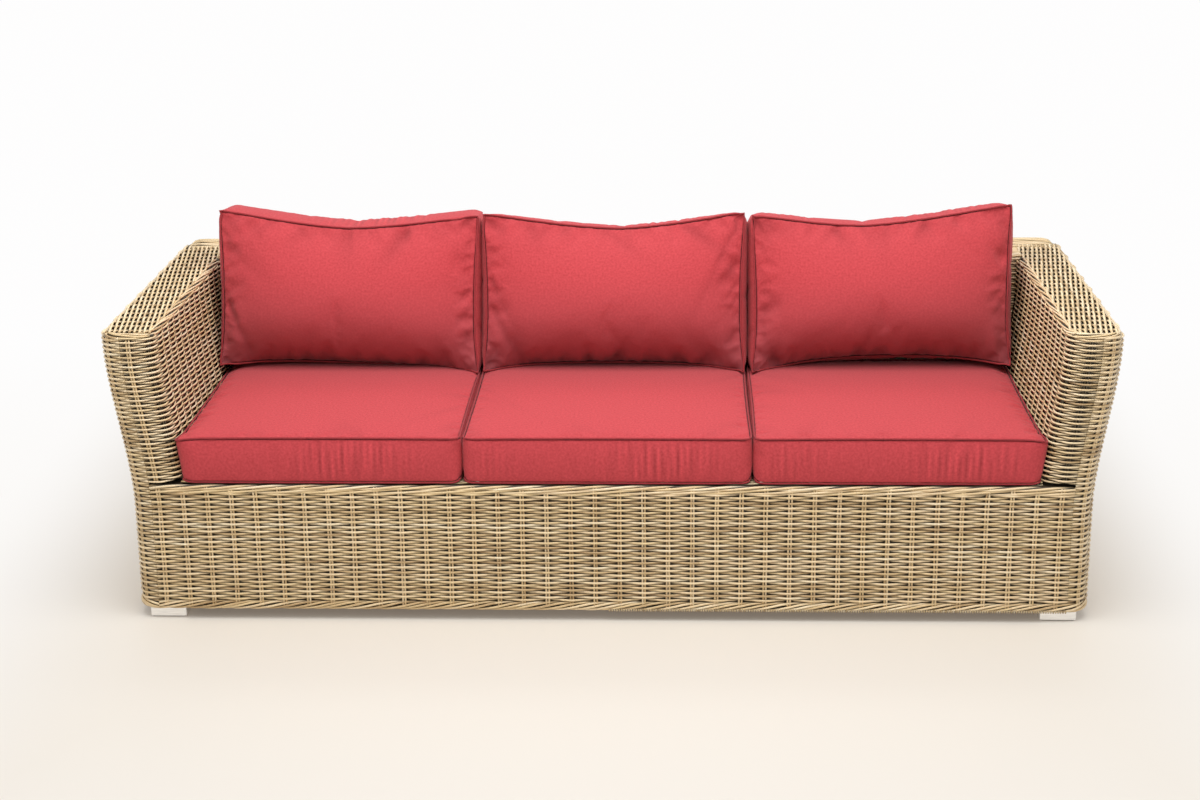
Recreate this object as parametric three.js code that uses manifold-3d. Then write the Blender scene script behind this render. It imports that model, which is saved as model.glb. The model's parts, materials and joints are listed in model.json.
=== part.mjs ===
// Woven garden sofa for three people: an aluminium tube frame inside a woven skin,
// four metal feet, three loose seat cushions and three loose back cushions.
// Millimetres. X runs along the sofa, Y to its back and Z up from the floor.

import * as THREE from 'three';
import { mergeVertices } from 'three/addons/utils/BufferGeometryUtils.js';
import Module from 'manifold-3d';

const wasm = await Module();
wasm.setup();

// Driving dimensions of the whole sofa
const baseWidth = 2100;
const armHeight = 655;
const seatHeight = 320;
const seatDepth = 628;
const floorClearance = 22;

// Arms: both faces lean out together above the seat
const armThickness = 126;
const armFlare = 44;
const flareStart = 250;
const flareEnd = 640;
const flareSteps = 8;
const noseRadius = 55;

// Backrest: the inner face leans back, the outer face is upright
const backLeanDegrees = 15.5;
const backTopDepth = 188;
const backBandDepth = 74;

// Woven skin
const weaveThickness = 12;
const deckThickness = 10;
const cornerRadius = 50;
const innerRound = 2;
const cornerSteps = 5;
const edgeSteps = 3;

// Rows of strands that show as ribs on the flat front and back, above a plain border
const strandPitch = 5.7;
const strandRelief = 4;
const borderHeight = 26;

// Frame tubes
const tubeSize = 25;
const tubeWall = 1.5;
const contactGap = 0.3;
const postClearance = 1;

// Feet and glides
const footWidth = 81;
const footSideInset = 27;
const footFrontInset = 11;
const footEdgeRadius = 4;
const glideMargin = 3;
const glideThickness = 2;
const stemRadius = 6;
const stemLength = 15;
const stemClearance = 0.3;
const roundSteps = 12;

// Three cushions side by side, on the seat and against the back
const cushionsPerRow = 3;

// Seat cushions
const seatSetback = 8;
const seatCushionThickness = 97;
const seatSideGap = 3.7;
const seatCushionGap = 6;
const middleSeatExtra = 12;
const seatCrown = 12;
const seatDrawIn = 6;
const seatBulge = 3;
const seatRearGap = 1;

// Back cushions
const backSideGap = 10;
const backCushionGap = 11;
const backCushionHeight = 352;
const backCushionThickness = 148;
const backCrown = 45;
const backRearCrown = 12;
const backSideDrawIn = 14;
const backTopDrawIn = 24;
const backBottomDrawIn = 12;
const backBulge = 5;
const backTopFall = 34;

// Cushion covers
const restGap = 0.4;
const coverWall = 3;
const coreGap = 0.5;
const zipMargin = 95;
const zipSlit = 2;
const zipOverrun = 2;
const crownPower = 4;
const cushionSteps = 8;
const mergeTolerance = 0.001;

// Heights and places that follow from the sizes above
const edgeRound = weaveThickness + innerRound;
const capHeight = armHeight - edgeRound;
const leanSlope = Math.tan(THREE.MathUtils.degToRad(backLeanDegrees));
const depth = seatDepth + (capHeight - seatHeight) * leanSlope + backTopDepth;
const frontY = -depth / 2;
const backY = depth / 2;
const deckBottom = seatHeight - deckThickness;
const seatRailTop = deckBottom - contactGap;
const seatRailHeight = seatRailTop - tubeSize;
const topRailTop = capHeight - contactGap;
const topRailHeight = topRailTop - tubeSize;
const skinStart = seatHeight + contactGap;
const seatCushionBottom = seatHeight + restGap;
const seatCushionTop = seatCushionBottom + seatCushionThickness;
const backCushionBottom = seatCushionTop + seatCrown + restGap;

// Half of the outer width at a height, in straight steps between the levels of the flare,
// and the face of an arm that looks at the seat
const flareStep = (flareEnd - flareStart) / flareSteps;

function flaredHalf(height) {
  return baseWidth / 2 + armFlare * THREE.MathUtils.smoothstep(height, flareStart, flareEnd);
}

function outerHalf(height) {
  const low = flareStart + Math.floor((height - flareStart) / flareStep) * flareStep;
  const high = low + flareStep;
  return THREE.MathUtils.mapLinear(height, low, high, flaredHalf(low), flaredHalf(high));
}

function innerHalf(height) {
  return outerHalf(height) - armThickness;
}

// The cushions of a row share the space between the arms, and the middle seat cushion is
// a little wider than its neighbours
const seatSpan = (innerHalf(seatHeight) - seatSideGap) * 2;
const evenSeatWidth = (seatSpan - seatCushionGap * 2) / cushionsPerRow;
const middleSeatWidth = evenSeatWidth + middleSeatExtra;
const sideSeatWidth = evenSeatWidth - middleSeatExtra / 2;
const backSpan = (innerHalf(backCushionBottom) - backSideGap) * 2;
const backCushionWidth = (backSpan - backCushionGap * 2) / cushionsPerRow;

// Members under the gaps between the seat cushions
const memberX = (middleSeatWidth + seatCushionGap - tubeSize) / 2;

// Front of the inner backrest face at a height
function backrestY(height) {
  return frontY + seatDepth + (height - seatHeight) * leanSlope;
}

function flareLevels(low, high) {
  const levels = [low];
  for (let step = 0; step <= flareSteps; step += 1) {
    const level = flareStart + step * flareStep;
    if (level > low && level < high) levels.push(level);
  }
  levels.push(high);
  return levels;
}

// Colours and finishes
const finishes = {
  cane: { color: 0xc8a777, roughness: 0.6, metalness: 0 },
  frame: { color: 0x6f6253, roughness: 0.5, metalness: 0.6 },
  foot: { color: 0xc9cbcd, roughness: 0.35, metalness: 1 },
  glide: { color: 0x2b2b2b, roughness: 0.7, metalness: 0 },
  cover: { color: 0xb9383f, roughness: 0.85, metalness: 0 },
  core: { color: 0xe9e4d2, roughness: 0.9, metalness: 0 },
};

const sofa = new THREE.Group();

function addPiece(name, geometry, finish) {
  const mesh = new THREE.Mesh(geometry, new THREE.MeshStandardMaterial(finishes[finish]));
  mesh.name = name;
  sofa.add(mesh);
  return mesh;
}

// A closed sheet between two grids of points. Seen from outside, points run to the
// right along a row and rows run upward. A closed sheet joins its last point to its first.
function thickSheet(outer, inner, closed = false) {
  const rows = outer.length;
  const columns = outer[0].length;
  const spans = closed ? columns : columns - 1;
  const positions = [];
  const indices = [];
  for (const grid of [outer, inner]) {
    for (const row of grid) {
      for (const point of row) positions.push(point.x, point.y, point.z);
    }
  }
  const outerAt = (row, column) => row * columns + (column % columns);
  const innerAt = (row, column) => rows * columns + outerAt(row, column);
  const quad = (a, b, c, d) => indices.push(a, b, c, a, c, d);

  for (let row = 0; row < rows - 1; row += 1) {
    for (let i = 0; i < spans; i += 1) {
      quad(outerAt(row, i), outerAt(row, i + 1), outerAt(row + 1, i + 1), outerAt(row + 1, i));
      quad(innerAt(row, i), innerAt(row + 1, i), innerAt(row + 1, i + 1), innerAt(row, i + 1));
    }
  }
  const top = rows - 1;
  for (let i = 0; i < spans; i += 1) {
    quad(innerAt(0, i), innerAt(0, i + 1), outerAt(0, i + 1), outerAt(0, i));
    quad(outerAt(top, i), outerAt(top, i + 1), innerAt(top, i + 1), innerAt(top, i));
  }
  if (!closed) {
    const last = columns - 1;
    for (let row = 0; row < top; row += 1) {
      quad(outerAt(row, 0), outerAt(row + 1, 0), innerAt(row + 1, 0), innerAt(row, 0));
      quad(innerAt(row, last), innerAt(row + 1, last), outerAt(row + 1, last), outerAt(row, last));
    }
  }
  const geometry = new THREE.BufferGeometry();
  geometry.setAttribute('position', new THREE.Float32BufferAttribute(positions, 3));
  geometry.setIndex(indices);
  return geometry;
}

function mirrored(grid) {
  return grid.map((row) => row.map((point) => new THREE.Vector3(-point.x, point.y, point.z)).reverse());
}

// Points of an arc in plan, at one height
function planArc(centreX, centreY, radius, startQuarter, height) {
  const points = [];
  for (let step = 0; step <= cornerSteps; step += 1) {
    const angle = (startQuarter + step / cornerSteps) * (Math.PI / 2);
    points.push(new THREE.Vector3(
      centreX + radius * Math.cos(angle),
      centreY + radius * Math.sin(angle),
      height,
    ));
  }
  return points;
}

// The section of a plain wall: its height and how far it is set in from the outline
function plainWall(low, high) {
  return flareLevels(low, high).map((height) => ({ height, inset: 0 }));
}

// The section of a woven wall: each row of strands has its crest on the outline and a
// hollow below it
function ribbedWall(low, high) {
  const start = low + borderHeight;
  const rows = Math.floor((high - start) / strandPitch);
  const halfPitch = (high - start) / (rows * 2);
  const levels = [{ height: low, inset: 0 }, { height: start, inset: 0 }];
  for (let step = 1; step <= rows * 2; step += 1) {
    levels.push({ height: start + step * halfPitch, inset: step % 2 === 1 ? strandRelief : 0 });
  }
  return levels;
}

// The section of a skin: a wall with its rounded top edge, and its inner face
function skinLevels(wall) {
  const outer = [...wall];
  const inner = wall.map(({ height }) => ({ height, inset: weaveThickness }));
  for (let step = 1; step <= edgeSteps; step += 1) {
    const angle = (step / edgeSteps) * (Math.PI / 2);
    for (const [levels, radius] of [[outer, edgeRound], [inner, innerRound]]) {
      levels.push({
        height: capHeight + radius * Math.sin(angle),
        inset: edgeRound - radius * Math.cos(angle),
      });
    }
  }
  return { outer, inner };
}

// Right side of the sofa, with its front and rear corners
function sideRow({ height, inset }) {
  const centreX = outerHalf(height) - cornerRadius;
  const radius = cornerRadius - inset;
  return [
    ...planArc(centreX, frontY + cornerRadius, radius, -1, height),
    ...planArc(centreX, backY - cornerRadius, radius, 0, height),
  ];
}

// Inner face of the right arm, from the backrest round the nose to the outer corner
function armInnerRow({ height, inset }) {
  const faceX = innerHalf(height);
  const rearY = backrestY(Math.min(height, capHeight)) + weaveThickness;
  return [
    new THREE.Vector3(faceX + inset, rearY, height),
    ...planArc(faceX + noseRadius, frontY + noseRadius, noseRadius - inset, -2, height),
    new THREE.Vector3(outerHalf(height) - cornerRadius - contactGap, frontY + inset, height),
  ];
}

function addSideSkins() {
  const side = skinLevels(plainWall(floorClearance, capHeight));
  const sideGrids = [side.outer.map(sideRow), side.inner.map(sideRow)];
  addPiece('right_side_weave', thickSheet(...sideGrids), 'cane');
  addPiece('left_side_weave', thickSheet(...sideGrids.map(mirrored)), 'cane');

  const arm = skinLevels(plainWall(skinStart, capHeight));
  const armGrids = [arm.outer.map(armInnerRow), arm.inner.map(armInnerRow)];
  addPiece('right_arm_inner_weave', thickSheet(...armGrids), 'cane');
  addPiece('left_arm_inner_weave', thickSheet(...armGrids.map(mirrored)), 'cane');
}

// Flat panels that end where the rounded corners begin
function panelEnd(height) {
  return outerHalf(height) - cornerRadius - contactGap;
}

function addFrontApron() {
  const row = (height, y) => [
    new THREE.Vector3(-panelEnd(height), y, height),
    new THREE.Vector3(panelEnd(height), y, height),
  ];
  const wall = ribbedWall(floorClearance, seatHeight);
  const outer = wall.map(({ height, inset }) => row(height, frontY + inset));
  const inner = wall.map(({ height }) => row(height, frontY + weaveThickness));
  addPiece('front_apron_weave', thickSheet(outer, inner), 'cane');
}

function addBackOuter() {
  const row = ({ height, inset }) => [
    new THREE.Vector3(panelEnd(height), backY - inset, height),
    new THREE.Vector3(-panelEnd(height), backY - inset, height),
  ];
  const levels = skinLevels(ribbedWall(floorClearance, capHeight));
  addPiece('back_outer_weave', thickSheet(levels.outer.map(row), levels.inner.map(row)), 'cane');
}

function addBackInner() {
  const row = ({ height, inset }) => {
    const half = innerHalf(height) - contactGap;
    const y = backrestY(Math.min(height, capHeight)) + inset;
    return [new THREE.Vector3(-half, y, height), new THREE.Vector3(half, y, height)];
  };
  const levels = skinLevels(plainWall(skinStart, capHeight));
  addPiece('back_inner_weave', thickSheet(levels.outer.map(row), levels.inner.map(row)), 'cane');
}

function extruded(shape, height) {
  return new THREE.ExtrudeGeometry(shape, {
    depth: height,
    bevelEnabled: false,
    curveSegments: cornerSteps,
  });
}

// Flat woven top of the right arm: its outline follows the arm and its nose
function armTopOutline() {
  const inset = edgeRound + contactGap;
  const innerX = innerHalf(armHeight) + inset;
  const outerX = outerHalf(armHeight) - inset;
  const rearY = backY - backBandDepth - contactGap;
  const noseX = innerHalf(armHeight) + noseRadius;
  const cornerX = outerHalf(armHeight) - cornerRadius;
  return [
    new THREE.Vector2(outerX, rearY),
    new THREE.Vector2(innerX, rearY),
    ...planArc(noseX, frontY + noseRadius, noseRadius - inset, -2, 0),
    ...planArc(cornerX, frontY + cornerRadius, cornerRadius - inset, -1, 0),
  ];
}

function addTopSlab(name, outline) {
  const shape = new THREE.Shape(outline.map((point) => new THREE.Vector2(point.x, point.y)));
  const slab = new THREE.ExtrudeGeometry(shape, { depth: weaveThickness, bevelEnabled: false });
  addPiece(name, slab, 'cane').position.z = armHeight - weaveThickness;
}

function addArmTops() {
  const right = armTopOutline();
  const left = right.map((point) => new THREE.Vector2(-point.x, point.y)).reverse();
  addTopSlab('right_arm_top_weave', right);
  addTopSlab('left_arm_top_weave', left);
}

// Top of the backrest: a band over the full width and a step forward between the arms
function addBackTop() {
  const inset = edgeRound + contactGap;
  const outerX = outerHalf(armHeight) - inset;
  const stepX = innerHalf(armHeight) + edgeRound;
  const stepY = backrestY(capHeight) + inset;
  const bandY = backY - backBandDepth;
  const radius = cornerRadius - inset;
  const centreX = outerHalf(armHeight) - cornerRadius;
  addTopSlab('back_top_weave', [
    new THREE.Vector2(-stepX, stepY),
    new THREE.Vector2(stepX, stepY),
    new THREE.Vector2(stepX, bandY),
    new THREE.Vector2(outerX, bandY),
    ...planArc(centreX, backY - cornerRadius, radius, 0, 0),
    ...planArc(-centreX, backY - cornerRadius, radius, 1, 0),
    new THREE.Vector2(-outerX, bandY),
    new THREE.Vector2(-stepX, bandY),
  ]);
}

function addSeatDeck() {
  const half = innerHalf(deckBottom) + weaveThickness;
  const front = frontY + weaveThickness + contactGap;
  const rear = frontY + seatDepth + weaveThickness;
  const deck = addPiece(
    'seat_deck_weave', new THREE.BoxGeometry(half * 2, rear - front, deckThickness), 'cane',
  );
  deck.position.set(0, (front + rear) / 2, deckBottom + deckThickness / 2);
}

// Square tubes, open at both ends
function squareTube(length) {
  const shape = new THREE.Shape();
  const bore = new THREE.Path();
  const outer = tubeSize / 2;
  const inner = outer - tubeWall;
  for (const [path, half] of [[shape, outer], [bore, inner]]) {
    path.moveTo(-half, -half);
    path.lineTo(half, -half);
    path.lineTo(half, half);
    path.lineTo(-half, half);
    path.closePath();
  }
  shape.holes.push(bore);
  return new THREE.ExtrudeGeometry(shape, { depth: length, bevelEnabled: false });
}

// Rails and posts are placed by their lowest corner across the tube
function railAlongX(name, startX, endX, lowY, lowZ) {
  const rail = addPiece(name, squareTube(endX - startX), 'frame');
  rail.rotation.y = Math.PI / 2;
  rail.position.set(startX, lowY + tubeSize / 2, lowZ + tubeSize / 2);
}

function railAlongY(name, lowX, startY, endY, lowZ) {
  const rail = addPiece(name, squareTube(endY - startY), 'frame');
  rail.rotation.x = -Math.PI / 2;
  rail.position.set(lowX + tubeSize / 2, startY, lowZ + tubeSize / 2);
}

// An upright whose low corner at each height is given by a function
function upright(name, levels, cornerAt, side) {
  const ring = (inset) => (height) => {
    const { x, y } = cornerAt(height);
    const low = inset;
    const high = tubeSize - inset;
    const points = [
      new THREE.Vector3(x + low, y + low, height),
      new THREE.Vector3(x + high, y + low, height),
      new THREE.Vector3(x + high, y + high, height),
      new THREE.Vector3(x + low, y + high, height),
    ];
    return points;
  };
  const grids = [levels.map(ring(0)), levels.map(ring(tubeWall))];
  const placed = side < 0 ? grids.map(mirrored) : grids;
  addPiece(name, thickSheet(...placed, true), 'frame');
}

// How far a corner post reaches out from the centre of its rounded corner
const postReach = (cornerRadius - weaveThickness - postClearance) * Math.SQRT1_2;
const frontPostY = frontY + cornerRadius - postReach;
const rearPostY = backY - cornerRadius + postReach - tubeSize;
const innerPostY = frontY + noseRadius;
const innerBackRailY = backrestY(topRailTop) + weaveThickness + contactGap;
const lowerRailTop = floorClearance + tubeSize;
const frontRailY = frontY + weaveThickness + contactGap;
const rearRailY = backY - weaveThickness - contactGap - tubeSize;
const backSupportY = frontY + seatDepth;

function outerPostX(height) {
  return outerHalf(height) - cornerRadius + postReach - tubeSize;
}

function innerPostX(height) {
  return innerHalf(height) + weaveThickness + postClearance;
}

function addPosts() {
  for (const [side, word] of [[1, 'right'], [-1, 'left']]) {
    const outerLevels = flareLevels(floorClearance, topRailTop);
    const innerLevels = flareLevels(deckBottom, topRailTop);
    const outerAt = (y) => (height) => ({ x: outerPostX(height), y });
    const innerAt = (y) => (height) => ({ x: innerPostX(height), y });
    upright(`${word}_front_post`, outerLevels, outerAt(frontPostY), side);
    upright(`${word}_rear_post`, outerLevels, outerAt(rearPostY), side);
    upright(`${word}_inner_front_post`, innerLevels, innerAt(innerPostY), side);
    upright(`${word}_inner_rear_post`, innerLevels, innerAt(innerBackRailY), side);
  }
}

function addLowerFrame() {
  const end = outerPostX(floorClearance) - contactGap;
  railAlongX('front_lower_rail', -end, end, frontRailY, floorClearance);
  railAlongX('rear_lower_rail', -end, end, rearRailY, floorClearance);
  const sideX = outerHalf(floorClearance) - weaveThickness - contactGap - tubeSize;
  const startY = frontPostY + tubeSize + contactGap;
  const endY = rearPostY - contactGap;
  railAlongY('right_lower_rail', sideX, startY, endY, floorClearance);
  railAlongY('left_lower_rail', -sideX - tubeSize, startY, endY, floorClearance);
  for (const [side, word] of [[1, 'right'], [-1, 'left']]) {
    upright(
      `${word}_apron_post`,
      [lowerRailTop + contactGap, seatRailHeight - contactGap],
      () => ({ x: memberX, y: frontRailY }),
      side,
    );
  }
}

function addSeatFrame() {
  const end = outerPostX(seatRailHeight) - contactGap;
  railAlongX('front_seat_rail', -end, end, frontRailY, seatRailHeight);
  railAlongX('rear_seat_rail', -end, end, rearRailY, seatRailHeight);

  const sideX = innerPostX(deckBottom);
  const startY = frontRailY + tubeSize + contactGap;
  const endY = rearRailY - contactGap;
  railAlongY('right_seat_side_rail', sideX, startY, endY, seatRailHeight);
  railAlongY('left_seat_side_rail', -sideX - tubeSize, startY, endY, seatRailHeight);

  const supportEnd = sideX - contactGap;
  railAlongX('back_support_rail', -supportEnd, supportEnd, backSupportY, seatRailHeight);

  const memberEnd = backSupportY - contactGap;
  railAlongY('right_seat_cross_member', memberX, startY, memberEnd, seatRailHeight);
  railAlongY('left_seat_cross_member', -memberX - tubeSize, startY, memberEnd, seatRailHeight);
}

function addTopFrame() {
  const outerX = outerHalf(topRailHeight) - weaveThickness - postClearance - tubeSize;
  const outerStart = frontPostY + tubeSize + contactGap;
  const outerEnd = rearPostY - contactGap;
  const innerX = innerPostX(topRailTop);
  const innerStart = innerPostY + tubeSize + contactGap;
  const innerEnd = innerBackRailY - contactGap;
  railAlongY('right_arm_outer_rail', outerX, outerStart, outerEnd, topRailHeight);
  railAlongY('left_arm_outer_rail', -outerX - tubeSize, outerStart, outerEnd, topRailHeight);
  railAlongY('right_arm_inner_rail', innerX, innerStart, innerEnd, topRailHeight);
  railAlongY('left_arm_inner_rail', -innerX - tubeSize, innerStart, innerEnd, topRailHeight);

  const backEnd = outerPostX(topRailHeight) - contactGap;
  railAlongX('back_outer_rail', -backEnd, backEnd, rearRailY, topRailHeight);
  const innerBackEnd = innerPostX(topRailHeight) - contactGap;
  railAlongX('back_inner_rail', -innerBackEnd, innerBackEnd, innerBackRailY, topRailHeight);

  const uprightY = weaveThickness + contactGap + deckThickness * leanSlope;
  for (const [side, word] of [[1, 'right'], [-1, 'left']]) {
    upright(
      `${word}_backrest_upright`,
      [deckBottom, topRailHeight - contactGap],
      (height) => ({ x: memberX, y: backrestY(height) + uprightY }),
      side,
    );
  }
}

// Joining and cutting closed shapes
function toSolid(geometry) {
  const bare = geometry.clone();
  bare.deleteAttribute('normal');
  bare.deleteAttribute('uv');
  const merged = mergeVertices(bare, mergeTolerance);
  return new wasm.Manifold(new wasm.Mesh({
    numProp: 3,
    vertProperties: Float32Array.from(merged.attributes.position.array),
    triVerts: Uint32Array.from(merged.index.array),
  }));
}

function toGeometry(solid) {
  const mesh = solid.getMesh();
  const geometry = new THREE.BufferGeometry();
  geometry.setAttribute('position', new THREE.BufferAttribute(mesh.vertProperties, 3));
  geometry.setIndex(new THREE.BufferAttribute(mesh.triVerts, 1));
  return geometry;
}

// A square with rounded corners, with a round hole where a hole radius is given
function roundedBlock(width, height, holeRadius) {
  const centre = width / 2 - footEdgeRadius;
  const outline = [
    ...planArc(centre, -centre, footEdgeRadius, -1, 0),
    ...planArc(centre, centre, footEdgeRadius, 0, 0),
    ...planArc(-centre, centre, footEdgeRadius, 1, 0),
    ...planArc(-centre, -centre, footEdgeRadius, 2, 0),
  ];
  const shape = new THREE.Shape(outline.map((point) => new THREE.Vector2(point.x, point.y)));
  if (holeRadius > 0) {
    const hole = [];
    for (let step = 0; step < roundSteps; step += 1) {
      const angle = (step / roundSteps) * Math.PI * 2;
      hole.push(new THREE.Vector2(holeRadius * Math.cos(angle), holeRadius * Math.sin(angle)));
    }
    shape.holes.push(new THREE.Path(hole));
  }
  return new THREE.ExtrudeGeometry(shape, { depth: height, bevelEnabled: false });
}

function glideGeometry() {
  const pad = roundedBlock(footWidth - glideMargin * 2, glideThickness, 0);
  const stem = new THREE.CylinderGeometry(stemRadius, stemRadius, stemLength, roundSteps);
  stem.rotateX(Math.PI / 2);
  stem.translate(0, 0, glideThickness / 2 + stemLength / 2);
  return toGeometry(toSolid(pad).add(toSolid(stem)));
}

function addFeet() {
  const footBottom = glideThickness + contactGap;
  const footTop = floorClearance - contactGap;
  const footX = baseWidth / 2 - footSideInset - footWidth / 2;
  const fromFace = footFrontInset + footWidth / 2;
  for (const [side, word] of [[1, 'right'], [-1, 'left']]) {
    for (const [y, place] of [[frontY + fromFace, 'front'], [backY - fromFace, 'rear']]) {
      const block = roundedBlock(footWidth, footTop - footBottom, stemRadius + stemClearance);
      const foot = addPiece(`${place}_${word}_foot`, block, 'foot');
      foot.position.set(side * footX, y, footBottom);
      const glide = addPiece(`${place}_${word}_glide`, glideGeometry(), 'glide');
      glide.position.set(side * footX, y, 0);
    }
  }
}

// A stuffed box cushion in its own frame: x along its width, y along its length and z
// through it. Its edges draw in between the corners, its panels are crowned and its
// border swells between the two seams. Inset gives a smaller copy for a lining or core.
function cushionGeometry(form, inset) {
  const steps = cushionSteps;
  const positions = [];
  const indices = [];
  const quad = (a, b, c, d) => indices.push(a, b, c, a, c, d);
  const addPoint = (x, y, z) => {
    const point = form.place(x, y, z);
    positions.push(point.x, point.y, point.z);
    return positions.length / 3 - 1;
  };
  const flatness = (share) => 1 - Math.abs(share) ** crownPower;
  const outline = (u, v, swell) => {
    const endDraw = v > 0 ? form.topDraw : form.bottomDraw;
    const halfX = form.width / 2 - inset - form.sideDraw * (1 - v * v);
    const halfY = form.length / 2 - inset - endDraw * (1 - u * u);
    const outX = Math.abs(u) === 1 ? Math.sign(u) * swell * flatness(v) : 0;
    const outY = Math.abs(v) === 1 ? Math.sign(v) * swell * flatness(u) : 0;
    return { x: u * halfX + outX, y: v * halfY + outY };
  };

  const panel = (sign, crown) => {
    const rows = [];
    for (let row = 0; row <= steps; row += 1) {
      const v = (row / steps) * 2 - 1;
      const line = [];
      for (let column = 0; column <= steps; column += 1) {
        const u = (column / steps) * 2 - 1;
        const { x, y } = outline(u, v, 0);
        const rise = form.thickness / 2 - inset + crown * flatness(u) * flatness(v);
        line.push(addPoint(x, y, sign * rise));
      }
      rows.push(line);
    }
    return rows;
  };
  const front = panel(1, form.frontCrown);
  const rear = panel(-1, form.rearCrown);

  const loop = [];
  for (let i = 0; i < steps; i += 1) loop.push([0, i]);
  for (let i = 0; i < steps; i += 1) loop.push([i, steps]);
  for (let i = steps; i > 0; i -= 1) loop.push([steps, i]);
  for (let i = steps; i > 0; i -= 1) loop.push([i, 0]);
  const middle = loop.map(([row, column]) => {
    const { x, y } = outline((column / steps) * 2 - 1, (row / steps) * 2 - 1, form.bulge);
    return addPoint(x, y, 0);
  });

  for (let row = 0; row < steps; row += 1) {
    for (let i = 0; i < steps; i += 1) {
      quad(front[row][i], front[row][i + 1], front[row + 1][i + 1], front[row + 1][i]);
      quad(rear[row][i], rear[row + 1][i], rear[row + 1][i + 1], rear[row][i + 1]);
    }
  }
  loop.forEach(([row, column], i) => {
    const next = (i + 1) % loop.length;
    const [nextRow, nextColumn] = loop[next];
    quad(rear[row][column], rear[nextRow][nextColumn], middle[next], middle[i]);
    quad(middle[i], middle[next], front[nextRow][nextColumn], front[row][column]);
  });
  const geometry = new THREE.BufferGeometry();
  geometry.setAttribute('position', new THREE.Float32BufferAttribute(positions, 3));
  geometry.setIndex(indices);
  return geometry;
}

// A thin slot through the cover's border, where its zip lies
function zipCutter(form) {
  const draw = form.zipEnd > 0 ? form.topDraw : form.bottomDraw;
  const inner = form.length / 2 - draw - coverWall * 2;
  const outer = form.length / 2 + form.bulge + zipOverrun;
  const cutter = new THREE.BoxGeometry(form.width - zipMargin * 2, outer - inner, zipSlit);
  cutter.translate(0, (form.zipEnd * (inner + outer)) / 2, 0);
  const places = cutter.attributes.position;
  for (let i = 0; i < places.count; i += 1) {
    const point = form.place(places.getX(i), places.getY(i), places.getZ(i));
    places.setXYZ(i, point.x, point.y, point.z);
  }
  return cutter;
}

function addCushion(name, form) {
  const outside = toSolid(cushionGeometry(form, 0));
  const hollow = toSolid(cushionGeometry(form, coverWall));
  const cover = outside.subtract(hollow).subtract(toSolid(zipCutter(form)));
  addPiece(`${name}_cover`, toGeometry(cover), 'cover');
  addPiece(`${name}_core`, cushionGeometry(form, coverWall + coreGap), 'core');
}

function seatForm(centreX, width) {
  const length = seatDepth - seatSetback - seatRearGap;
  const centreY = frontY + seatSetback + length / 2;
  const centreZ = seatCushionBottom + seatCushionThickness / 2;
  return {
    width,
    length,
    thickness: seatCushionThickness,
    frontCrown: seatCrown,
    rearCrown: 0,
    sideDraw: seatDrawIn,
    topDraw: seatDrawIn,
    bottomDraw: seatDrawIn,
    bulge: seatBulge,
    zipEnd: 1,
    place: (x, y, z) => ({ x: centreX + x, y: centreY + y, z: centreZ + z }),
  };
}

// A back cushion stands on a seat cushion and leans against the backrest, so its own
// length runs up and its front looks at -Y. Its top falls away to the rear.
function backForm(centreX) {
  const place = (x, y, z) => {
    const behind = 1 / 2 - z / backCushionThickness;
    const rise = y / backCushionHeight + 1 / 2;
    const height = backCushionBottom + rise * (backCushionHeight - backTopFall * behind);
    const fromRear = z + backCushionThickness / 2 + backRearCrown + restGap;
    return { x: centreX + x, y: backrestY(height) - fromRear, z: height };
  };
  return {
    width: backCushionWidth,
    length: backCushionHeight,
    thickness: backCushionThickness,
    frontCrown: backCrown,
    rearCrown: backRearCrown,
    sideDraw: backSideDrawIn,
    topDraw: backTopDrawIn,
    bottomDraw: backBottomDrawIn,
    bulge: backBulge,
    zipEnd: -1,
    place,
  };
}

function addCushions() {
  const sideSeatX = middleSeatWidth / 2 + seatCushionGap + sideSeatWidth / 2;
  const sideBackX = backCushionWidth + backCushionGap;
  for (const [side, word] of [[-1, 'left'], [0, 'middle'], [1, 'right']]) {
    const seatWidth = side === 0 ? middleSeatWidth : sideSeatWidth;
    addCushion(`${word}_seat_cushion`, seatForm(side * sideSeatX, seatWidth));
    addCushion(`${word}_back_cushion`, backForm(side * sideBackX));
  }
}

addFrontApron();
addSideSkins();
addArmTops();
addBackOuter();
addBackInner();
addBackTop();
addSeatDeck();
addPosts();
addLowerFrame();
addSeatFrame();
addTopFrame();
addFeet();
addCushions();

export default sofa;
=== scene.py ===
"""Looks of a woven garden sofa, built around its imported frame. Metres, +Z up."""

from itertools import product
import json
import math

import bpy
import numpy as np
from mathutils import Matrix, Vector

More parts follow.
